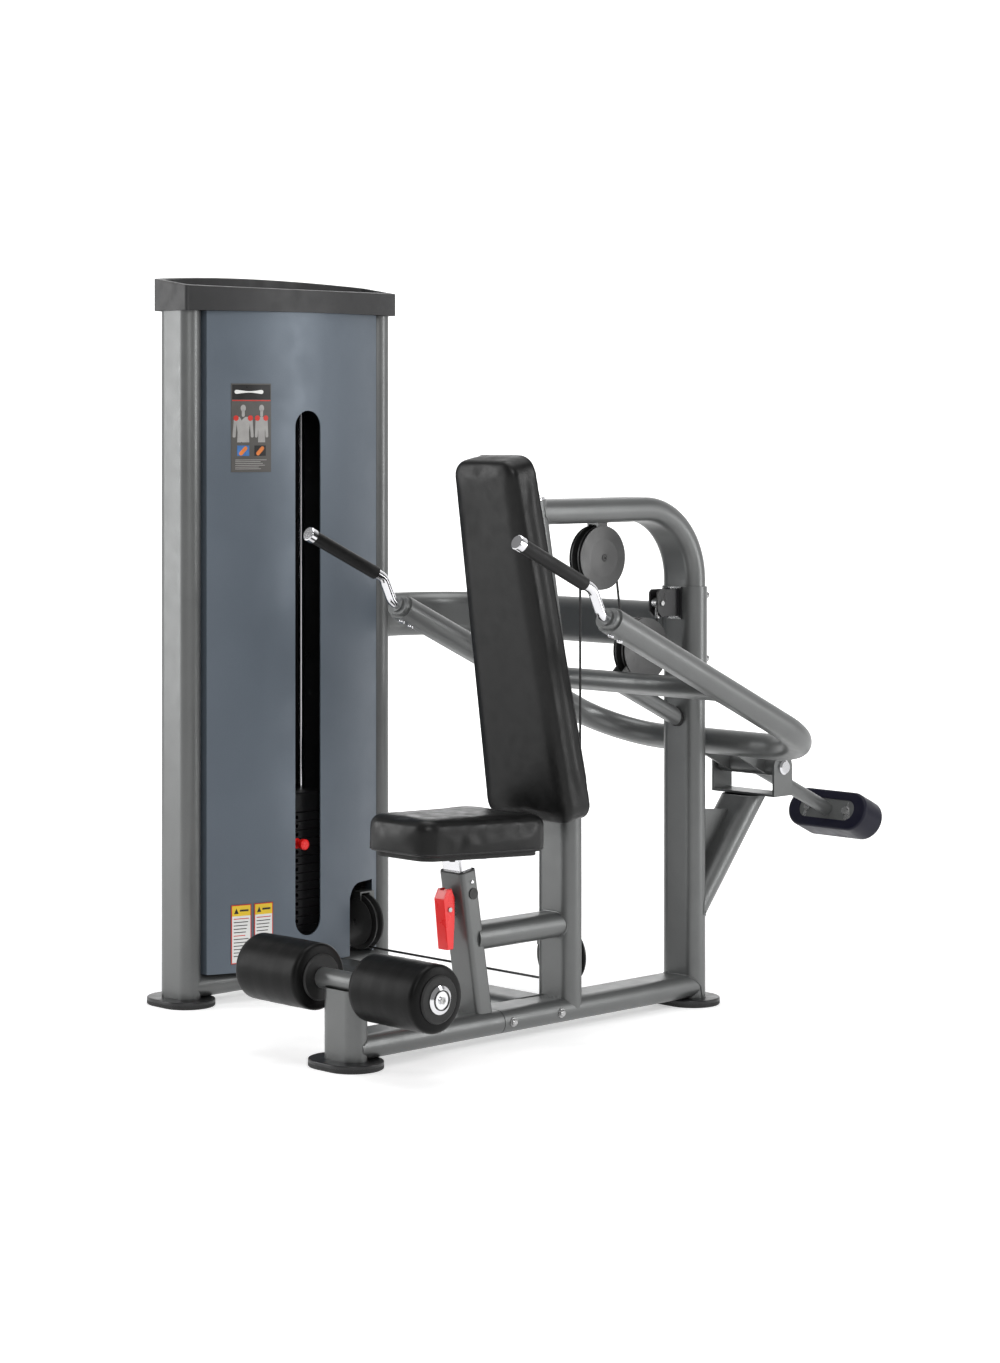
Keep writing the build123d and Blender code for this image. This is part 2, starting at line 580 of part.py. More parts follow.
def weight_plate(level):
    z = STACK_Z + level * PLATE_PITCH + PLATE_T / 2
    plate = Pos(TOWER_X, TOWER_Y, z) * Box(*PLATE_SIZE, PLATE_T)
    plate = chamfer(plate.edges(), 1.2)
    for drill in stack_drills():
        plate -= drill
    return plate - pin_hole(level)


def make_stack():
    lower = [weight_plate(level) for level in range(LOWER_PLATES)]
    lifted = [weight_plate(LOWER_PLATES + level) for level in range(LIFTED_PLATES)]
    nodes["weight_plates_lower"] = Compound(children=lower)
    nodes["weight_plates_lifted"] = Compound(children=lifted)
    levels = LOWER_PLATES + LIFTED_PLATES
    head_z = STACK_Z + levels * PLATE_PITCH
    head = Pos(TOWER_X, TOWER_Y, head_z + HEAD_T / 2) * Box(PLATE_SIZE[0], 230, HEAD_T)
    head = chamfer(head.edges(), 3)
    guides = stack_drills()[:2]
    selector = rod(SELECTOR_R, (TOWER_X, TOWER_Y, STACK_Z), (TOWER_X, TOWER_Y, head_z + HEAD_T))
    nodes["head_plate"] = head - guides[0] - guides[1] - selector
    for level in range(levels):
        selector -= pin_hole(level)
    nodes["selector_rod"] = selector
    fitting_z = head_z + HEAD_T
    fitting = [(0, 0), (16, 0), (16, 8), (9, 12), (9, 38), (0, 38)]
    nodes["stack_cable_end"] = turned(fitting, (TOWER_X, TOWER_Y, fitting_z), (0, 0, 1))
    rods, bumpers = [], []
    for side in (-1, 1):
        y = TOWER_Y + side * ROD_OFFSET
        rods.append(rod(ROD_R, (TOWER_X, y, RAIL_TOP), (TOWER_X, y, TOP_BEAM_Z - TOP_BEAM[1] / 2)))
        bumpers.append(rod(27, (TOWER_X, y, RAIL_TOP), (TOWER_X, y, STACK_Z)) - rods[-1])
    nodes["guide_rods"] = Compound(children=rods)
    nodes["stack_bumpers"] = Compound(children=bumpers)
    pin_z = STACK_Z + LOWER_PLATES * PLATE_PITCH + PLATE_T / 2
    face = TOWER_X + PLATE_SIZE[0] / 2
    nodes["selector_pin"] = rod(PIN_R, (TOWER_X - 12, TOWER_Y, pin_z), (face + 14, TOWER_Y, pin_z))
    knob = [(0, 14), (0, 36), (9, 36), (13.5, 33), (13.5, 22), (10, 16), (10, 3), (13.5, 0.5),
            (PIN_R, 0.5), (PIN_R, 14)]
    nodes["selector_knob"] = turned(knob, (face, TOWER_Y, pin_z), (1, 0, 0), (0, 1, 0))


# ---------------------------------------------------------------- pulleys and cable
def wheel(centre, axis, wrap, rim, bore):
    """Grooved pulley wheel."""
    bottom = wrap - CABLE_R - 0.4
    profile = [(bore, -WHEEL_HALF), (rim, -WHEEL_HALF), (rim, -WHEEL_HALF + 4), (bottom, -CABLE_R - 0.6),
               (bottom, CABLE_R + 0.6), (rim, WHEEL_HALF - 4), (rim, WHEEL_HALF), (bore, WHEEL_HALF)]
    x_dir = (0, 0, 1)
    return turned(profile, centre, axis, x_dir)


def covers(centre, axis, radius):
    """Domed cover disc on each side of a pulley."""
    inner = WHEEL_HALF + 1 + STRAP_T
    profile = [(7, inner), (radius, inner), (radius, inner + 2), (radius * 0.6, inner + 5), (7, inner + 6.5)]
    discs = [turned(profile, centre, Vector(axis) * side, (0, 0, 1)) for side in (-1, 1)]
    return Compound(children=discs)


def straps(centre, axis, towards, width=30, bridge=0):
    """Two flat straps beside a wheel with the axle through them, and an optional bridge plate."""
    across, way = Vector(axis), Vector(towards) - Vector(centre)
    length = way.length
    place = Plane(origin=centre, x_dir=across, z_dir=way.normalized())
    inner = WHEEL_HALF + 1
    body = place * Pos(inner + STRAP_T / 2, 0, length / 2 - 10) * Box(STRAP_T, width, length + 20)
    body += place * Pos(-inner - STRAP_T / 2, 0, length / 2 - 10) * Box(STRAP_T, width, length + 20)
    if bridge:
        body += place * Pos(0, 0, length - bridge / 2) * Box(2 * (inner + STRAP_T), width, bridge)
    ends = [Vector(centre) + across * (s * (inner + STRAP_T)) for s in (-1, 1)]
    x_dir = (0, 0, 1)
    axle = run(Circle(6), ends[0], ends[1], x_dir)
    return body + axle


def make_pulleys():
    x_axis, y_axis = (1, 0, 0), (0, 1, 0)
    bore = 6 + RUNNING_FIT
    tube_under = (0, TOP_PULLEY[1], TOP_TUBE_BOTTOM)
    nodes["pulley_top"] = wheel(TOP_PULLEY, x_axis, CABLE_WRAP, 79, bore)
    nodes["pulley_top_bracket"] = straps(TOP_PULLEY, x_axis, tube_under, 34, STRAP_T)
    nodes["pulley_float"] = wheel(FLOAT_PULLEY, x_axis, CABLE_WRAP, 79, bore)
    crossbar_solid = run(oval(CROSSBAR), arm_point(CROSSBAR_U, 0, -200), arm_point(CROSSBAR_U, 0, 200),
                         ARM_ALONG)
    stub_solid = run(oval(STOP_STUB), arm_point(CROSSBAR_U, 0), arm_point(720, 0))
    fork = straps(FLOAT_PULLEY, x_axis, arm_point(CROSSBAR_U, 0), 36)
    nodes["pulley_float_fork"] = fork - crossbar_solid - stub_solid
    nodes["pulley_low"] = wheel(LOW_PULLEY, y_axis, LOW_WRAP, 72, bore)
    low_head = (LOW_PULLEY[0], LOW_PULLEY[1], LOW_PULLEY[2] + 79)
    back_solid = upright(TUBE, 0, BACK_POST_Y, RAIL_TOP, 600, oval)
    front_strap = CABLE_Y - WHEEL_HALF - 1 - STRAP_T
    arm = block((-79, 690, 188), (-16, front_strap, 233)) - back_solid
    nodes["pulley_low_bracket"] = straps(LOW_PULLEY, y_axis, low_head, 30, STRAP_T) + arm
    nodes["pulley_tower"] = wheel(TOWER_PULLEY, y_axis, LOW_WRAP, 72, bore)
    tower_head = (TOWER_PULLEY[0], TOWER_PULLEY[1], TOWER_PULLEY[2] + 79)
    rear_strap = CABLE_Y + WHEEL_HALF + 1 + STRAP_T
    rear_solid = upright(TUBE, TOWER_X, TOWER_REAR_Y, 0, 600, oval)
    arm = block((-858, rear_strap - STRAP_T, 203), (-783, rear_strap + 12, 233))
    arm += block((-858, rear_strap, 203), (-843, TOWER_REAR_Y, 233)) - rear_solid
    nodes["pulley_tower_bracket"] = straps(TOWER_PULLEY, y_axis, tower_head, 30, STRAP_T) + arm
    nodes["pulley_covers"] = Compound(children=[
        covers(TOP_PULLEY, x_axis, 78), covers(LOW_PULLEY, y_axis, 60), covers(TOWER_PULLEY, y_axis, 60)])
    nodes["pulley_float_covers"] = covers(FLOAT_PULLEY, x_axis, 78)
    bracket = None
    for y, name in ((CABLE_Y - HEAD_WRAP, "pulley_head_rear"), (TOWER_Y + HEAD_WRAP, "pulley_head_front")):
        centre = (TOWER_X, y, HEAD_PULLEY_Z)
        nodes[name] = wheel(centre, x_axis, HEAD_WRAP, 53, bore)
        stand = straps(centre, x_axis, (TOWER_X, y, TOP_BEAM_Z + TOP_BEAM[1] / 2), 40)
        bracket = stand if bracket is None else Compound(children=[bracket, stand])
    nodes["pulley_head_brackets"] = bracket


def around(centre, start, end):
    """Arc about centre, the short way from start to end."""
    c, a, b = Vector(*centre), Vector(*start), Vector(*end)
    middle = c + ((a - c) + (b - c)).normalized() * (a - c).length
    return ThreePointArc(a, middle, b)


def cable(edges):
    path = Wire(edges)
    return sweep(plane_at(path @ 0, path % 0, (1, 0.1, 0.1)) * Circle(CABLE_R), path=path)


def make_cables():
    ty, tz = TOP_PULLEY[1:]
    fy, fz = FLOAT_PULLEY[1:]
    gap = hypot(fy - ty, fz - tz)
    angle = atan2(fz - tz, fy - ty) - asin(2 * CABLE_WRAP / gap)
    side = Vector(0, -sin(angle), cos(angle)) * CABLE_WRAP
    leave = Vector(*TOP_PULLEY) + side
    arrive = Vector(*FLOAT_PULLEY) - side
    rise = (0, fy + CABLE_WRAP, fz)
    anchor = (0, fy + CABLE_WRAP, 970)
    under = (0, fy, fz - CABLE_WRAP)
    nodes["cable_span_front"] = cable([Line(leave, arrive)])
    nodes["cable_wrap"] = cable([around(FLOAT_PULLEY, arrive, under), around(FLOAT_PULLEY, under, rise)])
    nodes["cable_span_rear"] = cable([Line(rise, anchor)])
    over, front = (0, ty, tz + CABLE_WRAP), (0, CABLE_Y, tz)
    low, low_out = (0, CABLE_Y, LOW_PULLEY[2]), (LOW_PULLEY[0], CABLE_Y, LOW_PULLEY[2] - LOW_WRAP)
    tower_in = (TOWER_PULLEY[0], CABLE_Y, TOWER_PULLEY[2] - LOW_WRAP)
    tower_up = (TOWER_X, CABLE_Y, TOWER_PULLEY[2])
    head_up = (TOWER_X, CABLE_Y, HEAD_PULLEY_Z)
    rear_centre = (TOWER_X, CABLE_Y - HEAD_WRAP, HEAD_PULLEY_Z)
    front_centre = (TOWER_X, TOWER_Y + HEAD_WRAP, HEAD_PULLEY_Z)
    rear_top = (TOWER_X, rear_centre[1], HEAD_PULLEY_Z + HEAD_WRAP)
    front_top = (TOWER_X, front_centre[1], HEAD_PULLEY_Z + HEAD_WRAP)
    head_down = (TOWER_X, TOWER_Y, HEAD_PULLEY_Z)
    nodes["cable_main"] = cable([
        around(TOP_PULLEY, leave, over), around(TOP_PULLEY, over, front), Line(front, low),
        around(LOW_PULLEY, low, low_out), Line(low_out, tower_in), around(TOWER_PULLEY, tower_in, tower_up),
        Line(tower_up, head_up), around(rear_centre, head_up, rear_top), Line(rear_top, front_top),
        around(front_centre, front_top, head_down)])
    fitting_top = STACK_Z + (LOWER_PLATES + LIFTED_PLATES) * PLATE_PITCH + HEAD_T + 38
    nodes["cable_stack"] = cable([Line(head_down, (TOWER_X, TOWER_Y, fitting_top))])
    pin_y, pin_z = fy + CABLE_WRAP, 1008
    pin = rod(6, (-20, pin_y, pin_z), (20, pin_y, pin_z))
    fitting = rod(6, (0, pin_y, 970), (0, pin_y, 1000)) + rod(13, (-8, pin_y, pin_z), (8, pin_y, pin_z))
    nodes["cable_anchor_fitting"] = fitting - pin
    face = POST_FRONT_FACE - COLLAR_T
    outline = [(pin_y - 14, 988), (pin_y - 14, 1034), (pin_y - 6, 1042), (face, 1042),
               (face, 974), (pin_y, 974)]
    ears = side_plate(outline, -16, -11) + side_plate(outline, 11, 16)
    ears += block((-24, face - 5, 966), (24, face, 1046))
    nodes["cable_anchor"] = ears - pin
    nodes["cable_anchor_pin"] = pin


# ---------------------------------------------------------------- press arm
def arm_plane(x, u, w=0):
    """Plane across the arm at u, facing down its length."""
    return Plane(origin=arm_point(u, w, x), x_dir=(1, 0, 0), z_dir=ARM_ALONG)


def make_yoke():
    points = [arm_point(0, 0, ARM_X), arm_point(REAR_TUBE_U, 0, ARM_X),
              arm_point(REAR_TUBE_U, 0, -ARM_X), arm_point(0, 0, -ARM_X)]
    path = FilletPolyline(*points, radius=ARM_BEND)
    yoke_solid = bent(oval(ARM_TUBE), path)
    nodes["yoke"] = bent(oval_ring(ARM_TUBE), path)
    bar = run(oval_ring(CROSSBAR), arm_point(CROSSBAR_U, 0, -ARM_X), arm_point(CROSSBAR_U, 0, ARM_X), ARM_ALONG)
    nodes["crossbar"] = bar - yoke_solid
    bar_solid = run(oval(CROSSBAR), arm_point(CROSSBAR_U, 0, -99), arm_point(CROSSBAR_U, 0, 99), ARM_ALONG)
    rubber_y = POST_FRONT_FACE - 10
    stub = run(oval_ring(STOP_STUB), arm_point(CROSSBAR_U, 0), arm_point(720, 0)) - bar_solid
    nodes["stop_stub"] = stub - block((-99, rubber_y, 0), (99, 1500, 1500))
    rubber = run(oval(STOP_STUB), arm_point(CROSSBAR_U, 0), arm_point(720, 0))
    nodes["stop_bumper"] = rubber & block((-99, rubber_y, 0), (99, POST_FRONT_FACE - CLEARANCE, 1500))
    hub = rod(HUB_R, (-EAR_X + 3, *PIVOT), (EAR_X - 3, *PIVOT))
    bore = rod(AXLE_R + RUNNING_FIT, (-EAR_X, *PIVOT), (EAR_X, *PIVOT))
    nodes["pivot_hub"] = hub - bore
    lugs = []
    for x in (-64, 56):
        corners = [(860, 26), (PIVOT_U, PIVOT_W + 22), (PIVOT_U, PIVOT_W - 24), (860, -27)]
        lug = side_plate([arm_point(u, w)[1:] for u, w in corners], x, x + 8)
        lugs.append(lug - yoke_solid - hub)
    nodes["yoke_lugs"] = Compound(children=[lug.solids().sort_by(SortBy.VOLUME)[-1] for lug in lugs])
    start, end = arm_point(PIVOT_U, PIVOT_W), arm_point(PIVOT_U + COUNTERWEIGHT_REACH + 2, PIVOT_W)
    nodes["counterweight_bar"] = run(Circle(18) - Circle(14), start, end) - hub


def make_counterweight():
    width, height, depth = COUNTERWEIGHT
    u = PIVOT_U + COUNTERWEIGHT_REACH
    body = extrude(arm_plane(0, u, PIVOT_W) * oval((width, height)), depth)
    ends = body.edges().filter_by(lambda edge: abs((edge @ 0.5 - edge @ 0).dot(ARM_ALONG)) < 0.01)
    body = fillet(ends, 7)
    pocket = extrude(arm_plane(0, u - 1, PIVOT_W) * oval((184, 56)), 7)
    nodes["counterweight_block"] = body - pocket
    nodes["counterweight_plate"] = extrude(arm_plane(0, u + 2, PIVOT_W) * oval((184, 56)), 4)
    heads = []
    for x in (-64, 64):
        place = arm_plane(x, u + 2, PIVOT_W)
        heads.append(place * Pos(0, 0, -3) * Cylinder(10, 6))
    nodes["counterweight_bolts"] = Compound(children=heads)


def make_handles():
    handles, grips, caps, sockets, screws = [], [], [], [], []
    for side in (-1, 1):
        x = side * ARM_X
        points = [arm_point(60, 0, x), arm_point(-32, 0, x), arm_point(-84, GRIP_OFFSET, x),
                  arm_point(-345, GRIP_OFFSET, x)]
        path = FilletPolyline(*points, radius=34)
        start = Plane(origin=path @ 0, x_dir=(1, 0, 0), z_dir=path % 0)
        handles.append(sweep(start * (Circle(HANDLE_R) - Circle(HANDLE_R - 3)), path=path))
        grip = run(Circle(GRIP_R) - Circle(HANDLE_R), arm_point(-113, GRIP_OFFSET, x),
                   arm_point(-334, GRIP_OFFSET, x))
        grips.append(grip)
        cap = run(Circle(17.5), arm_point(-334, GRIP_OFFSET, x), arm_point(-352, GRIP_OFFSET, x))
        cap = chamfer(cap.edges().sort_by(Axis.Y)[:1], 2)
        caps.append(cap - run(Circle(HANDLE_R), arm_point(-300, GRIP_OFFSET, x), arm_point(-345, GRIP_OFFSET, x)))
        collar = run(oval((66, 50)), arm_point(-12, 0, x), arm_point(0, 0, x))
        collar += run(oval((69.6, 53.6)), arm_point(0, 0, x), arm_point(42, 0, x))
        ring = run(Circle(19), arm_point(-17, 0, x), arm_point(-12, 0, x))
        sockets.append(collar + ring - run(Circle(HANDLE_R), arm_point(-30, 0, x), arm_point(60, 0, x)))
        for u in (18, 50):
            screw = run(Circle(8), arm_point(u, -ARM_TUBE[1] / 2, x), arm_point(u, -ARM_TUBE[1] / 2 - 5, x))
            screws.append(fillet(screw.edges().sort_by(Axis.Z)[:1], 2.5))
    nodes["handles"] = Compound(children=handles)
    nodes["grips"] = Compound(children=grips)
    nodes["grip_caps"] = Compound(children=caps)
    nodes["handle_sockets"] = Compound(children=sockets)
    nodes["handle_screws"] = Compound(children=screws)


def main():
    for make in (make_feet, make_floor_frame, make_main_posts, make_link_beam, make_pivot_support, make_seat,
                 make_seat_lever, make_back_pad, make_rollers, make_tower_frame, make_tower_panels,
                 make_tower_cap, make_placards, make_stack, make_pulleys, make_cables, make_yoke,
                 make_counterweight, make_handles):
        make()
    for name, members in GROUPS.items():
        solids = [solid for member in members for solid in nodes.pop(member).solids()]
        nodes[name] = Compound(children=solids)
    os.makedirs("parts", exist_ok=True)
    for name, shape in nodes.items():
        export_step(shape, f"parts/{name}.step")
    print(len(nodes), "nodes")


main()
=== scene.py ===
import json
from math import asin, atan2, cos, hypot, pi, radians, sin

import bmesh
import bpy
import numpy as np
from mathutils import Matrix, Vector
from mathutils.bvhtree import BVHTree


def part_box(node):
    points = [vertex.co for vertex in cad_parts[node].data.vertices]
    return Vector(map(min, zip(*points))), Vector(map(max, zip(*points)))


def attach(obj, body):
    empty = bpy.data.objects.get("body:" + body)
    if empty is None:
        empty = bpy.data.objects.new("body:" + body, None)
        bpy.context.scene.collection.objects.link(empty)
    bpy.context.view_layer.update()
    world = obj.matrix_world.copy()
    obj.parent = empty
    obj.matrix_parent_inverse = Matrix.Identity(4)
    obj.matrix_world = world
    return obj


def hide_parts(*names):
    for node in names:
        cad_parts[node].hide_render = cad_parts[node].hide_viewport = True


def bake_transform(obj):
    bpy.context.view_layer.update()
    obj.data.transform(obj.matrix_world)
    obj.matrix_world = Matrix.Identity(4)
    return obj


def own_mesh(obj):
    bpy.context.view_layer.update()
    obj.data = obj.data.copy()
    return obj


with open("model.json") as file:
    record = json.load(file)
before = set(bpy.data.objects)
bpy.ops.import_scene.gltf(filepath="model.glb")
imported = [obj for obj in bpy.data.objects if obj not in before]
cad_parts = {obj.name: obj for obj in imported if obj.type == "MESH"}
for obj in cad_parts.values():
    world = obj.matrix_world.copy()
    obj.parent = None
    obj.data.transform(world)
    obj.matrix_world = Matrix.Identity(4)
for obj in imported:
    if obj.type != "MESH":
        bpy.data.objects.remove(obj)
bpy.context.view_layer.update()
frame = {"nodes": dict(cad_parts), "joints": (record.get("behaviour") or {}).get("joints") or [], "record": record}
nodes = frame["nodes"]
joints = {joint["name"]: joint for joint in frame["joints"]}
scene = bpy.context.scene
MM = 0.001


def middle(node):
    """A node's centre at rest, in mm."""
    low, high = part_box(node)
    return (low + high) / 2 / MM


TOWER = middle("guide_rods")
PIN = middle("selector_pin")
ROLLERS = middle("roller_shaft")
TOP, FLOAT = middle("pulley_top"), middle("pulley_float")
LOW, TOWER_WHEEL = middle("pulley_low"), middle("pulley_tower")
PIVOT = Vector(joints["press_pivot"]["pos_m"]) / MM
PLATES_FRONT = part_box("weight_plates_lower")[1].x / MM
END_CAP_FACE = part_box("roller_end_caps")[1].x / MM
BOW_HALF, BOW_DEPTH, BOW_FRONT = 285, 58, 120
BOW_R = (BOW_HALF ** 2 + BOW_DEPTH ** 2) / (2 * BOW_DEPTH)
BOW_X = TOWER.x + BOW_FRONT - BOW_R
FAR_BOW_X = TOWER.x - BOW_FRONT + BOW_R
RIGHT, LEFT, REAR, FRONT, UP, DOWN = (1, 0, 0), (-1, 0, 0), (0, 1, 0), (0, -1, 0), (0, 0, 1), (0, 0, -1)
SIDES = ((-1, "left"), (1, "right"))

# ---------------------------------------------------------------- materials
materials = {}


def material(name, color, rough, metallic=0.0, tint=0.12, tint_scale=9.0, rough_spread=0.08, grain=0.0,
             grain_scale=600.0, wear=0.0, edge=0.0, coat=0.0, stretch=None, gloss=0.5):
    """Surface with patchy colour, patchy roughness, a fine grain in relief, and rubbed edges."""
    m = bpy.data.materials.new(name)
    m.use_nodes = True
    tree = m.node_tree
    n, link = tree.nodes, tree.links
    shader = n["Principled BSDF"]
    shader.inputs["Metallic"].default_value = metallic
    shader.inputs["Coat Weight"].default_value = coat
    shader.inputs["Specular IOR Level"].default_value = gloss
    shader.inputs["Coat Roughness"].default_value = 0.12
    place = n.new("ShaderNodeTexCoord").outputs["Object"]
    if stretch:
        mapping = n.new("ShaderNodeMapping")
        mapping.inputs["Scale"].default_value = stretch
        link.new(place, mapping.inputs["Vector"])
        place = mapping.outputs["Vector"]

    def noise(scale, detail=3.0):
        t = n.new("ShaderNodeTexNoise")
        t.inputs["Scale"].default_value = scale
        t.inputs["Detail"].default_value = detail
        link.new(place, t.inputs["Vector"])
        return t.outputs["Fac"]

    def ramp(value, low, high):
        r = n.new("ShaderNodeMapRange")
        r.inputs["From Min"].default_value = 0.3
        r.inputs["From Max"].default_value = 0.7
        r.inputs["To Min"].default_value = low
        r.inputs["To Max"].default_value = high
        link.new(value, r.inputs["Value"])
        return r.outputs["Result"]

    def mix(factor, a, b):
        x = n.new("ShaderNodeMix")
        x.data_type = "RGBA"
        link.new(factor, x.inputs["Factor"])
        for socket, value in ((x.inputs["A"], a), (x.inputs["B"], b)):
            if hasattr(value, "links"):
                link.new(value, socket)
            else:
                socket.default_value = (*value, 1)
        return x.outputs["Result"]

    patches = noise(tint_scale)
    dark = [c * (1 - tint) for c in color]
    light = [min(1, c * (1 + tint)) for c in color]
    shade = mix(ramp(patches, 0, 1), dark, light)
    fine = noise(grain_scale * 0.6, 2.0)
    shade = mix(ramp(fine, 0, 0.35), shade, [c * 0.8 for c in color])
    if wear:
        scuff = noise(55, 6.0)
        r = n.new("ShaderNodeMapRange")
        r.inputs["From Min"].default_value = 0.66
        r.inputs["From Max"].default_value = 0.72
        r.inputs["To Max"].default_value = wear
        link.new(scuff, r.inputs["Value"])
        shade = mix(r.outputs["Result"], shade, [min(1, c * 2 + 0.06) for c in color])
    link.new(shade, shader.inputs["Base Color"])
    link.new(ramp(noise(tint_scale * 3.1, 4.0), rough - rough_spread, rough + rough_spread),
             shader.inputs["Roughness"])
    normal = None
    if edge:
        bevel = n.new("ShaderNodeBevel")
        bevel.samples = 4
        bevel.inputs["Radius"].default_value = edge
        normal = bevel.outputs["Normal"]
    if grain:
        bump = n.new("ShaderNodeBump")
        bump.inputs["Strength"].default_value = 0.5
        bump.inputs["Distance"].default_value = grain
        link.new(noise(grain_scale, 2.0), bump.inputs["Height"])
        if normal:
            link.new(normal, bump.inputs["Normal"])
        normal = bump.outputs["Normal"]
    if normal:
        link.new(normal, shader.inputs["Normal"])
    materials[name] = m
    return m


material("frame_paint", (0.15, 0.154, 0.153), 0.36, 0.6, tint=0.05, rough_spread=0.04,
         grain=0.00004, grain_scale=900)
material("panel_paint", (0.115, 0.14, 0.17), 0.4, 0.25, tint=0.05, tint_scale=4,
         grain=0.00006, grain_scale=900)
material("foot_paint", (0.012, 0.012, 0.013), 0.35, tint=0.2, grain=0.0001, grain_scale=900,
         edge=0.001, wear=0.25)
material("black_rubber", (0.014, 0.014, 0.014), 0.72, tint=0.25, grain=0.0003, grain_scale=700, wear=0.15)
material("pad_vinyl", (0.006, 0.006, 0.006), 0.36, tint=0.18, tint_scale=12, grain=0.0003, grain_scale=520,
         gloss=0.26)
material("pad_seam", (0.006, 0.006, 0.007), 0.55, tint=0.2, grain=0.0003, grain_scale=900)
material("roller_vinyl", (0.0022, 0.0022, 0.0022), 0.4, tint=0.2, rough_spread=0.04,
         grain=0.0002, grain_scale=500, gloss=0.14)
material("grip_rubber", (0.005, 0.005, 0.005), 0.45, tint=0.2, grain=0.0002, grain_scale=1300, gloss=0.25)
material("navy_rubber", (0.003, 0.003, 0.013), 0.42, tint=0.2, grain=0.0002, grain_scale=500,
         edge=0.002, gloss=0.25)
material("pad_board", (0.015, 0.015, 0.015), 0.7, tint=0.2, grain=0.0003, grain_scale=300,
         stretch=(1, 0.15, 1))
material("black_plastic", (0.012, 0.012, 0.012), 0.42, tint=0.2, grain=0.0002, grain_scale=900, edge=0.0008)
material("hub_plastic", (0.012, 0.012, 0.012), 0.5, tint=0.1, grain=0.0002, grain_scale=900,
         edge=0.001, gloss=0.35)
material("cap_plastic", (0.017, 0.017, 0.018), 0.46, tint=0.12, grain=0.0004, grain_scale=850, edge=0.002)
material("stack_iron", (0.008, 0.008, 0.009), 0.5, 0.2, tint=0.25, grain=0.0004, grain_scale=400,
         wear=0.25, gloss=0.35)
material("chrome", (0.72, 0.72, 0.74), 0.1, 1.0, tint=0.04, rough_spread=0.04, grain=0.00002, grain_scale=900)
material("bolt_steel", (0.42, 0.42, 0.42), 0.28, 1.0, tint=0.15, tint_scale=60, grain=0.0001, grain_scale=900,
         edge=0.0006)
material("cover_steel", (0.06, 0.06, 0.06), 0.36, 0.6, tint=0.06, rough_spread=0.05,
         grain=0.00005, grain_scale=700)
material("red_plastic", (0.95, 0.01, 0.01), 0.3, tint=0.1, grain=0.0001, grain_scale=800,
         edge=0.001, coat=0.25)
material("cable_jacket", (0.012, 0.012, 0.012), 0.45, tint=0.2, grain=0.0004, grain_scale=900,
         stretch=(1, 1, 0.25))
material("placard_film", (0.085, 0.08, 0.075), 0.38, tint=0.06, grain=0.00006, grain_scale=900)
material("print_black", (0.012, 0.011, 0.011), 0.35, tint=0.1, grain=0.00005, grain_scale=900)
material("print_grey", (0.33, 0.32, 0.31), 0.4, tint=0.12, tint_scale=40, grain=0.00005, grain_scale=900)
material("print_white", (0.78, 0.78, 0.76), 0.4, tint=0.04, grain=0.00005, grain_scale=900)
material("print_red", (0.55, 0.03, 0.02), 0.4, tint=0.1, grain=0.00005, grain_scale=900)
material("print_yellow", (0.8, 0.55, 0.03), 0.4, tint=0.08, grain=0.00005, grain_scale=900)
material("print_orange", (0.7, 0.2, 0.04), 0.4, tint=0.15, tint_scale=60, grain=0.00005, grain_scale=900)
material("print_blue", (0.05, 0.16, 0.4), 0.4, tint=0.15, tint_scale=60, grain=0.00005, grain_scale=900)


# ---------------------------------------------------------------- CAD nodes
def paint(obj, base, rules=()):
    """Gives a piece its material. Each rule is (material, test of a face's centre in mm)."""
    obj.data.materials.clear()
    for name in [base] + [rule[0] for rule in rules]:
        obj.data.materials.append(materials[name])
    for polygon in obj.data.polygons:
        polygon.material_index = 0
        if rules:
            centre = obj.matrix_world @ polygon.center / MM
            for i, (name, test) in enumerate(rules):
                if test(centre):
                    polygon.material_index = i + 1


ARM_SLOPE = radians(25.2)
ARM_FRONT = Vector((0, 494, 1006))
ALONG = Vector((0, cos(ARM_SLOPE), -sin(ARM_SLOPE)))
ABOVE = Vector((0, sin(ARM_SLOPE), cos(ARM_SLOPE)))


def arm_uw(p):
    """How far along and above the press arm's sloping line a point is, in mm."""
    away = p - ARM_FRONT
    return away.dot(ALONG), away.dot(ABOVE)


def arm_point(u, w):
    return ARM_FRONT + ALONG * u + ABOVE * w


def on_cover(p, wheel, axis, radius, near=17.9, far=26):
    """Whether a point lies on one of the round covers beside a pulley."""
    away = p - wheel
    beside = abs(away[axis])
    away[axis] = 0
    return near < beside < far and away.length < radius


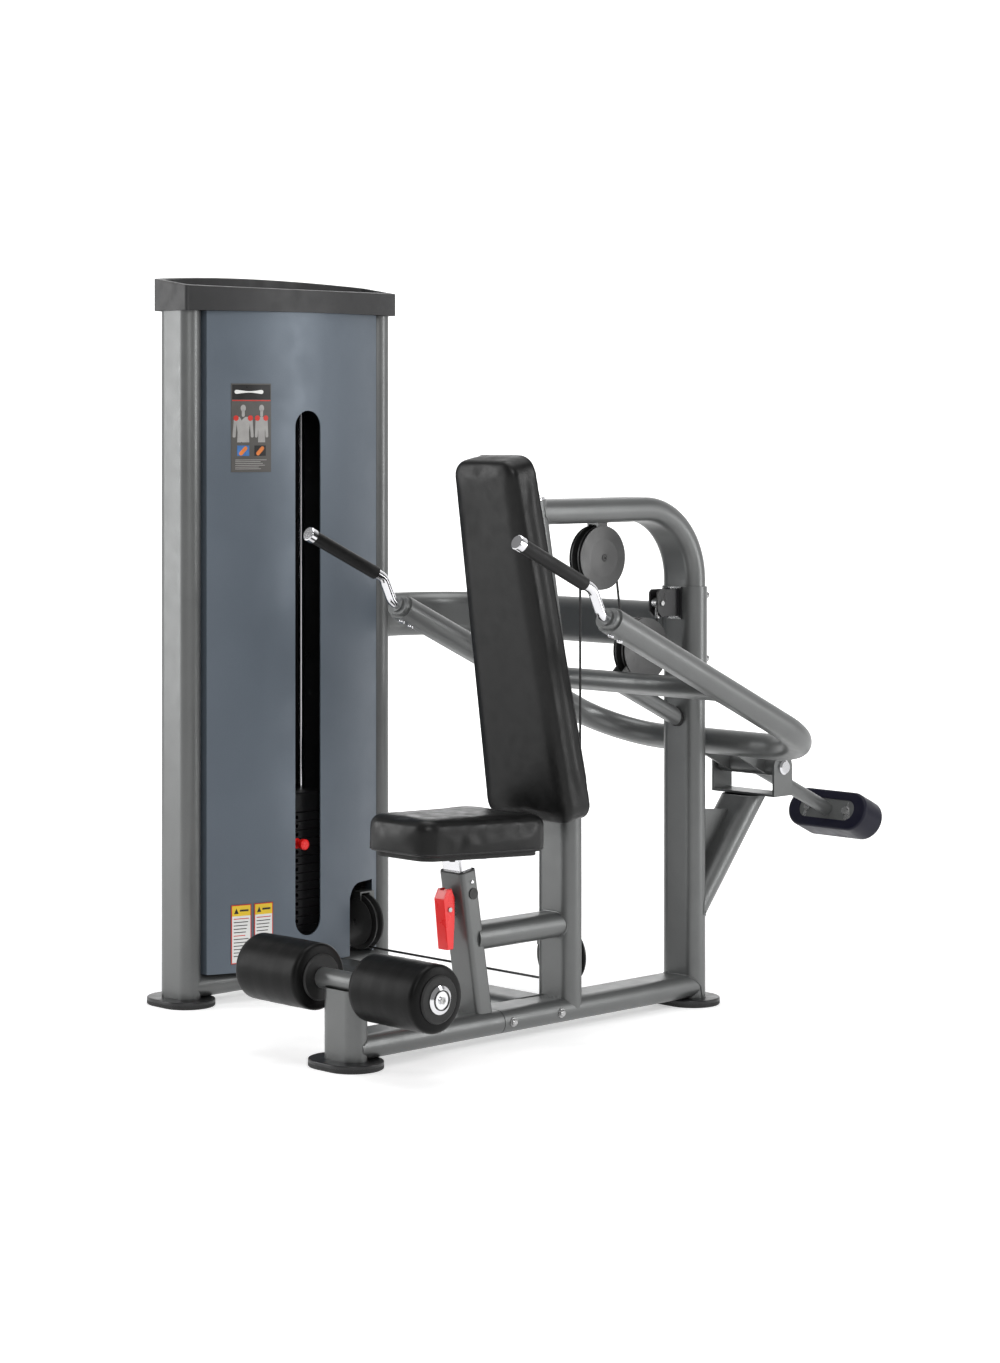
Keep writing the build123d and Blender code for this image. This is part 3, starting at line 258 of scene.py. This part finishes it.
PIVOT_U, PIVOT_W = arm_uw(PIVOT)
by_record = {s["node"]: s["material_slot"] for s in frame["record"]["subparts"]}
rules = {
    "selector_pin": ("red_plastic", [
        ("bolt_steel", lambda p: p.x < PLATES_FRONT + 0.5
         or p.x < PLATES_FRONT + 14 and hypot(p.y - PIN.y, p.z - PIN.z) < 5)]),
    "handle_sockets": ("frame_paint", [("chrome", lambda p: arm_uw(p)[1] < -28.5)]),
    "counterweight_bar": ("frame_paint", [
        ("bolt_steel", lambda p: arm_uw(p)[0] < PIVOT_U + 331
         and hypot(abs(p.x) - 64, arm_uw(p)[1] - PIVOT_W) < 11)]),
    "head_plate": ("stack_iron", [("bolt_steel", lambda p: hypot(p.x - TOWER.x, p.y - TOWER.y) < 16.6)]),
    "frame_plugs": ("black_plastic", [("chrome", lambda p: p.x > 40.2 and p.z > 383)]),
    "seat_slider": ("chrome", [("foot_paint", lambda p: p.z > 440)]),
    "cable_anchor": ("foot_paint", [
        ("bolt_steel", lambda p: abs(p.x) < 10.5 or abs(p.x) > 16.5 and p.y < 1060)]),
    # Painted shade: the inner faces of the far panel are painted black for the dark, shaded inside of the tower.
    "panel_left": ("panel_paint", [
        ("foot_paint", lambda p: hypot(p.x - FAR_BOW_X, p.y - TOWER.y) < BOW_R - 1.5)]),
    # Painted shade: frame members inside the tower, between the panels, are painted black for the dark, shaded
    # inside of the tower.
    "tower_frame": ("frame_paint", [("foot_paint", lambda p: abs(p.y - TOWER.y) < BOW_HALF and p.z > 90)]),
    "pulley_brackets": ("frame_paint", [
        ("cover_steel", lambda p: on_cover(p, TOP, 0, 79)
         or on_cover(p, LOW, 1, 61) or on_cover(p, TOWER_WHEEL, 1, 61))]),
    "pulley_float_fork": ("frame_paint", [("cover_steel", lambda p: on_cover(p, FLOAT, 0, 79))]),
}
for name, node in nodes.items():
    base, extra = rules.get(name, (by_record[name], ()))
    paint(node, base, extra)
    node.data.shade_smooth()
    node.data.set_sharp_from_angle(angle=radians(32))


# ---------------------------------------------------------------- mesh helpers
def piece(name, verts, faces, mat):
    """Smooth mesh from points in mm."""
    mesh = bpy.data.meshes.new(name)
    mesh.from_pydata([Vector(v) * MM for v in verts], [], faces)
    mesh.validate()
    mesh.update()
    obj = bpy.data.objects.new(name, mesh)
    scene.collection.objects.link(obj)
    mesh.materials.append(materials[mat])
    mesh.shade_smooth()
    mesh.set_sharp_from_angle(angle=radians(40))
    return obj


def tube(name, points, radius, mat, closed=False, sides=10, wobble=0.0):
    """Round bar along points in mm."""
    points = [Vector(p) for p in points]
    count = len(points)
    verts, faces = [], []
    up = None
    for i, p in enumerate(points):
        before = points[i - 1] if i or closed else points[i]
        after = points[(i + 1) % count] if i < count - 1 or closed else points[i]
        way = (after - before).normalized()
        up = (up - way * up.dot(way)) if up else way.orthogonal()
        up.normalize()
        side = way.cross(up)
        r = radius * (1 + wobble * sin(i * 2.4))
        for k in range(sides):
            a = 2 * pi * k / sides
            verts.append(p + (up * cos(a) + side * sin(a)) * r)
    rings = count if closed else count - 1
    for i in range(rings):
        j = (i + 1) % count
        for k in range(sides):
            l = (k + 1) % sides
            faces.append((i * sides + k, i * sides + l, j * sides + l, j * sides + k))
    if not closed:
        faces.append(tuple(range(sides))[::-1])
        faces.append(tuple((count - 1) * sides + k for k in range(sides)))
    return piece(name, verts, faces, mat)


def lathe(name, profile, origin, axis, mat, turns=64):
    """Turned piece from (radius, height) points in mm."""
    axis = Vector(axis).normalized()
    up = axis.orthogonal().normalized()
    side = axis.cross(up)
    verts, faces = [], []
    for r, h in profile:
        for k in range(turns):
            a = 2 * pi * k / turns
            verts.append(Vector(origin) + axis * h + (up * cos(a) + side * sin(a)) * r)
    for i in range(len(profile) - 1):
        for k in range(turns):
            l = (k + 1) % turns
            faces.append((i * turns + k, i * turns + l, (i + 1) * turns + l, (i + 1) * turns + k))
    return piece(name, verts, faces, mat)


def joined(name, objects):
    """One object from several, keeping their materials."""
    target = bmesh.new()
    mats = []
    for obj in objects:
        for m in obj.data.materials:
            if m not in mats:
                mats.append(m)
        lookup = [mats.index(m) for m in obj.data.materials]
        start = len(target.faces)
        target.from_mesh(obj.data)
        target.faces.ensure_lookup_table()
        for f in target.faces[start:]:
            f.material_index = lookup[f.material_index]
    mesh = bpy.data.meshes.new(name)
    target.to_mesh(mesh)
    target.free()
    for m in mats:
        mesh.materials.append(m)
    mesh.shade_smooth()
    mesh.set_sharp_from_angle(angle=radians(40))
    for obj in objects:
        bpy.data.objects.remove(obj)
    result = bpy.data.objects.new(name, mesh)
    scene.collection.objects.link(result)
    return result


def surface(*names):
    """Ray-casting trees of CAD nodes in the row frame."""
    trees = []
    for name in names:
        node = nodes[name]
        verts = [node.matrix_world @ v.co for v in node.data.vertices]
        trees.append(BVHTree.FromPolygons(verts, [tuple(p.vertices) for p in node.data.polygons]))
    return trees


def oval_points(width, height, count=72):
    """Flat-oval outline, its long side along the first axis."""
    r, half = height / 2, width / 2 - height / 2
    length = 4 * half + 2 * pi * r
    out = []
    for i in range(count):
        s = length * i / count
        if s < 2 * half:
            out.append((-half + s, r))
        elif s < 2 * half + pi * r:
            a = (s - 2 * half) / r
            out.append((half + sin(a) * r, cos(a) * r))
        elif s < 4 * half + pi * r:
            out.append((half - (s - 2 * half - pi * r), -r))
        else:
            a = (s - 4 * half - pi * r) / r
            out.append((-half - sin(a) * r, -cos(a) * r))
    return out


def weld(name, size, start, way, x_dir, onto, body, radius, reach=400):
    """Bead where a tube of that section meets another node, found by casting rays along the tube."""
    way, x_dir = Vector(way).normalized(), Vector(x_dir).normalized()
    y_dir = way.cross(x_dir)
    trees = surface(*onto)
    hits = []
    for a, b in oval_points(*size):
        origin = (Vector(start) + x_dir * a * 1.004 + y_dir * b * 1.004) * MM
        best = None
        for tree in trees:
            hit, _, _, distance = tree.ray_cast(origin, way, reach * MM)
            if hit is not None and (best is None or distance < best[1]):
                best = (hit, distance)
        if best:
            hits.append(best[0] / MM)
    if len(hits) < 20:
        return None
    bead = tube(name, hits, radius, "frame_paint", closed=True, sides=8, wobble=0.16)
    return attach(bead, body)


# ---------------------------------------------------------------- cushions
def baked(obj):
    """A new mesh of an object as its modifiers leave it."""
    evaluated = obj.evaluated_get(bpy.context.evaluated_depsgraph_get())
    return bpy.data.meshes.new_from_object(evaluated)


def cushion(node_name, front, voxel=0.005, cap=0.005, pressure=4.0):
    """Vinyl cushion blown up by cloth simulation from its CAD block, held where its board is."""
    node = nodes[node_name]
    mesh = node.data.copy()
    mesh.transform(node.matrix_world)
    obj = bpy.data.objects.new(node_name + "_cover", mesh)
    scene.collection.objects.link(obj)
    remesh = obj.modifiers.new("remesh", "REMESH")
    remesh.mode = "VOXEL"
    remesh.voxel_size = voxel
    obj.data = baked(obj)
    obj.modifiers.clear()
    count = len(obj.data.vertices)
    rest = np.empty(count * 3)
    obj.data.vertices.foreach_get("co", rest)
    rest = rest.reshape(-1, 3)
    front = np.array(Vector(front).normalized())
    depth = rest @ front
    group = obj.vertex_groups.new(name="held")
    for i in np.nonzero(depth < depth.min() + 0.011)[0]:
        group.add([int(i)], 1.0, "REPLACE")
    cloth = obj.modifiers.new("cloth", "CLOTH")
    s = cloth.settings
    s.quality = 5
    s.mass = 0.4
    s.tension_stiffness = s.compression_stiffness = 25
    s.shear_stiffness = 12
    s.bending_stiffness = 2
    s.vertex_group_mass = "held"
    s.use_pressure = True
    s.uniform_pressure_force = pressure
    s.effector_weights.gravity = 0
    cloth.point_cache.frame_start = 1
    cloth.point_cache.frame_end = 20
    for f in range(1, 21):
        scene.frame_set(f)
    moved = baked(obj)
    now = np.empty(count * 3)
    moved.vertices.foreach_get("co", now)
    obj.modifiers.clear()
    scene.frame_set(1)
    normals = np.empty(count * 3)
    obj.data.vertices.foreach_get("normal", normals)
    normals = normals.reshape(-1, 3)
    lift = np.clip(((now.reshape(-1, 3) - rest) * normals).sum(axis=1), -0.001, None)
    lift = cap * np.tanh(lift / cap)
    ends = np.empty(len(obj.data.edges) * 2, int)
    obj.data.edges.foreach_get("vertices", ends)
    ends = ends.reshape(-1, 2)
    for _ in range(6):
        total, links = np.zeros(count), np.zeros(count)
        for i, j in ((0, 1), (1, 0)):
            np.add.at(total, ends[:, i], lift[ends[:, j]])
            np.add.at(links, ends[:, i], 1)
        lift = 0.5 * lift + 0.5 * total / np.maximum(links, 1)
    obj.data.vertices.foreach_set("co", (rest + normals * lift[:, None]).ravel())
    obj.data.update()
    smooth = obj.modifiers.new("smooth", "SMOOTH")
    smooth.iterations = 4
    smooth.factor = 0.5
    rounder = obj.modifiers.new("rounder", "SUBSURF")
    rounder.levels = rounder.render_levels = 1
    obj.data = baked(obj)
    obj.modifiers.clear()
    obj.data.materials.clear()
    obj.data.materials.append(materials["pad_vinyl"])
    obj.data.shade_smooth()
    return obj


def outline_points(corners, radius, count=14):
    """Closed outline with round corners, from (a, b) corners."""
    out = []
    total = len(corners)
    for i in range(total):
        p, q, r = Vector(corners[i - 1]), Vector(corners[i]), Vector(corners[(i + 1) % total])
        into, away = (q - p).normalized(), (r - q).normalized()
        half = into.angle(away) / 2
        cut = radius * sin(half) / cos(half)
        a, b = q - into * cut, q + away * cut
        for k in range(count + 1):
            t = k / count
            w0, w1, w2 = (1 - t) ** 2, 2 * t * (1 - t), t * t
            out.append(a * w0 + q * w1 + b * w2)
        steps = max(2, int((r - q).length / 12))
        for k in range(1, steps):
            point = b + (r - b) * k / steps
            if (point - r).length > cut * 1.05:
                out.append(point)
    return out


def welt(name, cover, outline, place, height, radius=1.3, reach=30):
    """Sewn welt round a cushion's side, laid on the blown-up surface."""
    tree = BVHTree.FromObject(cover, bpy.context.evaluated_depsgraph_get())
    centre = sum((Vector(p) for p in outline), Vector((0, 0))) / len(outline)
    points = []
    for p in outline:
        away = (Vector(p) - centre).normalized()
        start = place @ Vector((*(Vector(p) + away * reach), height))
        way = (place.to_3x3() @ Vector((-away.x, -away.y, 0))).normalized()
        hit, _, _, _ = tree.ray_cast(start * MM, way, 3 * reach * MM)
        if hit is not None:
            points.append(hit / MM)
    return tube(name, points, radius, "pad_seam", closed=True, sides=8)


SEAT_TILT = radians(-2)
SEAT_MIDDLE, SEAT_Z = 330, 460
seat_place = (Matrix.Translation((0, SEAT_MIDDLE, SEAT_Z)) @ Matrix.Rotation(SEAT_TILT, 4, "X")
              @ Matrix.Translation((0, -SEAT_MIDDLE, 0)))
LEAN = radians(10.33)
BACK_MIDDLE = (0, 546, 943.5)
back_axes = Matrix(((1, 0, 0), (0, -sin(LEAN), -cos(LEAN)), (0, cos(LEAN), -sin(LEAN)))).to_4x4()
back_place = Matrix.Translation(BACK_MIDDLE) @ back_axes
cushions = (
    ("seat_pad", seat_place, (0, 0, 1), [(-107, 145), (107, 145), (146, 520), (-146, 520)], 46, 7, "seat"),
    ("back_pad", back_place, back_axes.to_3x3() @ Vector((0, 0, 1)),
     [(-146, -440), (146, -440), (104, 440), (-104, 440)], 42, -26, "root"),
)
for name, place, front, corners, radius, seam, body in cushions:
    cover = cushion(name, front)
    line = welt(name + "_welt", cover, outline_points(corners, radius), place, seam)
    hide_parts(name)
    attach(cover, body)
    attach(line, body)

foam_low, foam_high = (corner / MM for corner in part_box("roller_foam_right"))
near, far, r = foam_low.x, foam_high.x, (foam_high.z - foam_low.z) / 2
for side, name in SIDES:
    profile = [(30, near), (52, near - 1), (60, near), (r - 8, near + 1.5), (r - 3.5, near + 4),
               (r - 0.8, near + 9)]
    for k in range(1, 24):
        t = k / 24
        sag = 0.5 * sin(t * pi) + 0.18 * sin(t * 23) + 0.12 * sin(t * 57)
        profile.append((r - 0.9 + sag, near + 9 + (far - near - 18) * t))
    profile += [(r - 0.8, far - 9), (r - 3.5, far - 4), (r - 8, far - 1.5), (60, far), (52, far + 1),
                (30, far)]
    foam = lathe("roller_cover_" + name, profile, ROLLERS, (side, 0, 0), "roller_vinyl", 96)
    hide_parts("roller_foam_" + name)
    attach(foam, "roller_" + name)

# ---------------------------------------------------------------- cable
GROOVE = 60
ANCHOR_RISE = 80
CABLE_R = 3
gap = FLOAT - TOP
# The straight length runs from the rear of the top pulley to the front of the floating one.
turn = atan2(gap.z, gap.y) - asin(2 * GROOVE / gap.length)
outward = Vector((0, -sin(turn), cos(turn))) * GROOVE
leave, arrive = TOP + outward, FLOAT - outward
rise = FLOAT + Vector((0, GROOVE, 0))
anchor = rise + Vector((0, 0, ANCHOR_RISE))


def span(name, start, end):
    """Taut length between two bodies: a tube of just its two end rings, so it stays straight."""
    obj = tube(name, [start, end], CABLE_R, "cable_jacket", sides=12)
    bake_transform(obj)
    return obj


front_span = span("cable_front_span", leave, arrive)
span("cable_rear_span", rise, anchor)
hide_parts("cable_spans")
stack_low, stack_high = (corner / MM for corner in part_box("cable_stack"))
top = Vector((TOWER.x, TOWER.y, stack_high.z))
bottom = Vector((TOWER.x, TOWER.y, stack_low.z))
drop = tube("cable_above_stack", [top.lerp(bottom, k / 40) for k in range(41)], CABLE_R,
            "cable_jacket", sides=12)
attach(drop, "root")
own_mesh(drop)
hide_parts("cable_stack")

# ---------------------------------------------------------------- axle ends
# Painted shade: a small black dome at each pulley cover's centre stands in for the dark, shaded bore.
def eye(name, place, axis, body, radius=9.5):
    dome = [(radius, 20), (radius, 24.6), (radius - 1.5, 25.6), (3.2, 25.6), (2.8, 23.5), (0.01, 23.5)]
    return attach(lathe(name, dome, place, axis, "black_plastic", 32), body)


for name, place, axis, body in (("top", TOP, RIGHT, "root"), ("float", FLOAT, RIGHT, "press_arm"),
                                ("low", LOW, REAR, "root"), ("tower", TOWER_WHEEL, REAR, "root")):
    for side in (-1, 1):
        eye(f"pulley_eye_{name}_{side}", place, Vector(axis) * side, body)

ring_section = ((23, -2.9), (23, -1.4), (21.5, -0.8), (20, -1.4), (20, -2.9))
head_section = ((8.6, -0.5), (8.6, 1.4), (7.4, 2.4), (4.2, 2.4), (3.8, 0.5), (0.01, 0.5))
ring_profile = [(radius, END_CAP_FACE + out) for radius, out in ring_section]
head_profile = [(radius, END_CAP_FACE + out) for radius, out in head_section]
for side, name in SIDES:
    ring = lathe("roller_ring_" + name, ring_profile, ROLLERS, (side, 0, 0), "foot_paint", 48)
    head = lathe("roller_bolt_" + name, head_profile, ROLLERS, (side, 0, 0), "bolt_steel", 6)
    for extra in (ring, head):
        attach(extra, "root")

# ---------------------------------------------------------------- weld beads
CROSSBAR = arm_point(438, 0)
OVAL, POST = (120, 60), (116, 60)
seams = (
    ("weld_crossbar_left", (66, 46), CROSSBAR, LEFT, ALONG, ["yoke"], "press_arm"),
    ("weld_crossbar_right", (66, 46), CROSSBAR, RIGHT, ALONG, ["yoke"], "press_arm"),
    ("weld_brace_rear", (94, 60), (0, 560, 250), REAR, RIGHT, ["back_post"], "root"),
    ("weld_top_tube", OVAL, (0, 800, 1244), FRONT, RIGHT, ["back_post"], "root"),
    ("weld_strut", OVAL, (0, 1290, 417.5), (0, -266, -323), RIGHT, ["rear_post"], "root"),
    ("weld_front_post", POST, (0, 0, 100), DOWN, RIGHT, ["floor_rails"], "root"),
    ("weld_cross_base", (120, 56), (-300, 630, 46), RIGHT, REAR, ["floor_rails"], "root"),
    ("weld_cross_tower", (120, 56), (-500, 630, 46), LEFT, REAR, ["tower_frame"], "root"),
    ("weld_link_collar", POST, (-200, 1136, 946), RIGHT, UP, ["link_beam"], "root"),
    ("weld_rear_foot", OVAL, (0, 1136, 140), DOWN, RIGHT, ["floor_rails", "foot_plates"], "root"),
)
for name, size, start, way, x_dir, onto, body in seams:
    weld(name, size, start, way, x_dir, onto, body, radius=2.2 if name == "weld_front_post" else 2.6)


# ---------------------------------------------------------------- print on the tower's bowed panel
def on_panel(y, z, lift):
    r = BOW_R + lift
    return Vector((BOW_X + (r * r - (y - TOWER.y) ** 2) ** 0.5, y, z))


def patch(name, outline, lift, mat):
    """Printed shape that follows the bowed panel, from a closed list of (y, z) points."""
    centre = sum((Vector(p) for p in outline), Vector((0, 0))) / len(outline)
    verts = [on_panel(*centre, lift)]
    faces = []
    n = len(outline)
    rings = 6
    for ring in range(1, rings + 1):
        for p in outline:
            q = centre.lerp(Vector(p), ring / rings)
            verts.append(on_panel(*q, lift))
    for k in range(n):
        l = (k + 1) % n
        faces.append((0, 1 + k, 1 + l))
        for ring in range(rings - 1):
            a, b = 1 + ring * n, 1 + (ring + 1) * n
            faces.append((a + k, b + k, b + l, a + l))
    return piece(name, verts, faces, mat)


def rectangle(y0, y1, z0, z1, steps=8):
    out = []
    for a, b in (((y0, z0), (y1, z0)), ((y1, z0), (y1, z1)), ((y1, z1), (y0, z1)), ((y0, z1), (y0, z0))):
        out += [Vector(a).lerp(Vector(b), k / steps) for k in range(steps)]
    return out


def disc(y, z, r, squeeze=1.0, count=20):
    turns = [2 * pi * k / count for k in range(count)]
    return [(y + r * cos(a), z + r * squeeze * sin(a)) for a in turns]


def capsule(a, b, r, count=8):
    a, b = Vector(a), Vector(b)
    way = (b - a).normalized()
    side = Vector((-way.y, way.x))
    out = []
    for c, s in ((b, 1), (a, -1)):
        for k in range(count + 1):
            t = pi * k / count
            out.append(c + side * s * cos(t) * r + way * s * sin(t) * r)
    return out


prints = []
FILM = 1.35


def print_on(name, outline, mat, layer=0.0):
    """Adds a printed shape. A higher layer, in mm, lies over a lower one."""
    prints.append(patch(name, outline, FILM + layer, mat))


print_on("header", rectangle(305, 409, 1516, 1553), "print_black")
print_on("header_line", rectangle(305, 409, 1512, 1514.5), "print_red", 0.05)
print_on("heading", capsule((316, 1535), (384, 1535), 5), "print_white", 0.1)
z = 1474
for y, wide in ((334, 1), (384, 0.62)):
    print_on("figure_head", disc(y, z + 20, 7, 1.25), "print_grey")
    print_on("figure_neck", capsule((y, z + 12), (y, z + 2), 4), "print_grey")
    chest = [(y - 20 * wide, z - 2), (y + 20 * wide, z - 2), (y + 15 * wide, z - 40), (y + 16 * wide, z - 66),
             (y - 16 * wide, z - 66), (y - 15 * wide, z - 40)]
    print_on("figure_body", chest, "print_grey")
    for side in (-1, 1):
        print_on("figure_shoulder", disc(y + side * 19 * wide, z - 5, 7), "print_red", 0.1)
        arm = capsule((y + side * 21 * wide, z - 10), (y + side * 24 * wide, z - 50), 4)
        print_on("figure_arm", arm, "print_grey", 0.05)
for y, ground in ((334, "print_blue"), (380, "print_black")):
    print_on("picture", rectangle(y - 16, y + 16, 1374, 1400, 4), ground)
    print_on("picture_shape", capsule((y - 6, 1380), (y + 6, 1393), 5), "print_orange", 0.1)
TEXT_TOP, TEXT_PITCH = 1363, 4.5
for k in range(6):
    z = TEXT_TOP - TEXT_PITCH * k
    print_on("text_line", rectangle(313, 398 - (k * 17) % 23, z, z + 1.6, 3), "print_grey")
for y in (302, 363):
    print_on("label_border", rectangle(y + 0.6, y + 53.4, 98.6, 246.4), "print_red")
    print_on("label_sheet", rectangle(y + 3, y + 51, 101, 244), "print_white", 0.04)
    print_on("label_head", rectangle(y + 3, y + 51, 218, 244), "print_yellow", 0.08)
    print_on("label_mark", [(y + 8, 224), (y + 20, 224), (y + 14, 238)], "print_black", 0.12)
    print_on("label_head_text", rectangle(y + 23, y + 46, 229, 234, 3), "print_black", 0.12)
    for k in range(12):
        z = 210 - 8.5 * k
        ink = "print_red" if k in (0, 5) else "print_black"
        print_on("label_line", rectangle(y + 7, y + 47 - (k * 13) % 11, z, z + 2.2, 3), ink, 0.08)
prints_all = joined("panel_prints", prints)
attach(prints_all, "root")

# ---------------------------------------------------------------- floor, light and camera
AIM = radians(45.742)


def sweep_floor():
    """Floor that curves up into a backdrop behind the machine."""
    away = Vector((-sin(AIM), cos(AIM), 0))
    across = Vector((cos(AIM), sin(AIM), 0))
    profile = [(-60, 0), (-14, 0), (-4, 0), (4, 0), (9, 0)]
    for k in range(1, 13):
        a = pi / 2 * k / 12
        profile.append((9 + 6 * sin(a), 6 - 6 * cos(a)))
    profile.append((15, 16))
    verts, faces = [], []
    for d, z in profile:
        for s in (-45, 45):
            verts.append((away * d + across * s + Vector((0, 0, z))) / MM)
    for i in range(len(profile) - 1):
        faces.append((2 * i, 2 * i + 1, 2 * i + 3, 2 * i + 2))
    return verts, faces


material("floor_white", (0.86, 0.86, 0.86), 0.75, tint=0.012, tint_scale=1.3, grain=0.0002, grain_scale=90)
floor_shader = materials["floor_white"].node_tree.nodes["Principled BSDF"]
floor_shader.inputs["Emission Color"].default_value = (1, 1, 1, 1)
floor_shader.inputs["Emission Strength"].default_value = 0.45
backdrop = piece("backdrop", *sweep_floor(), "floor_white")


def area(name, place, target, size, power):
    light = bpy.data.lights.new(name, "AREA")
    light.shape = "RECTANGLE"
    light.size, light.size_y = size
    light.energy = power
    obj = bpy.data.objects.new(name, light)
    obj.location = place
    obj.rotation_euler = (Vector(target) - Vector(place)).to_track_quat("-Z", "Y").to_euler()
    scene.collection.objects.link(obj)


area("key", (3.4, -2.4, 3.4), (-0.3, 0.7, 0.7), (1.6, 2.4), 75)
area("overhead", (-0.4, 0.8, 4.6), (-0.4, 0.8, 0), (3.2, 3.2), 85)
area("left_strip", (-3.6, -2.6, 1.8), (-0.5, 0.6, 0.9), (0.9, 3.2), 75)
area("right_strip", (3.4, 3.2, 1.8), (-0.2, 0.8, 0.8), (0.9, 3.2), 70)
area("backdrop_wash", (-3.2, 5.0, 5.0), (-8, 9, 1.5), (6, 3), 650)
world = bpy.data.worlds.new("studio")
world.use_nodes = True
world.node_tree.nodes["Background"].inputs["Color"].default_value = (1, 1, 1, 1)
world.node_tree.nodes["Background"].inputs["Strength"].default_value = 0.3
scene.world = world
scene.view_settings.view_transform = "Standard"

camera_data = bpy.data.cameras.new("camera")
camera = bpy.data.objects.new("camera", camera_data)
camera.location = (5.374, -4.749, 1.475)
camera.rotation_euler = (radians(90), 0, AIM)
camera_data.sensor_width = 36
camera_data.lens = 83.5
camera_data.shift_y = -0.195
scene.collection.objects.link(camera)
scene.camera = camera
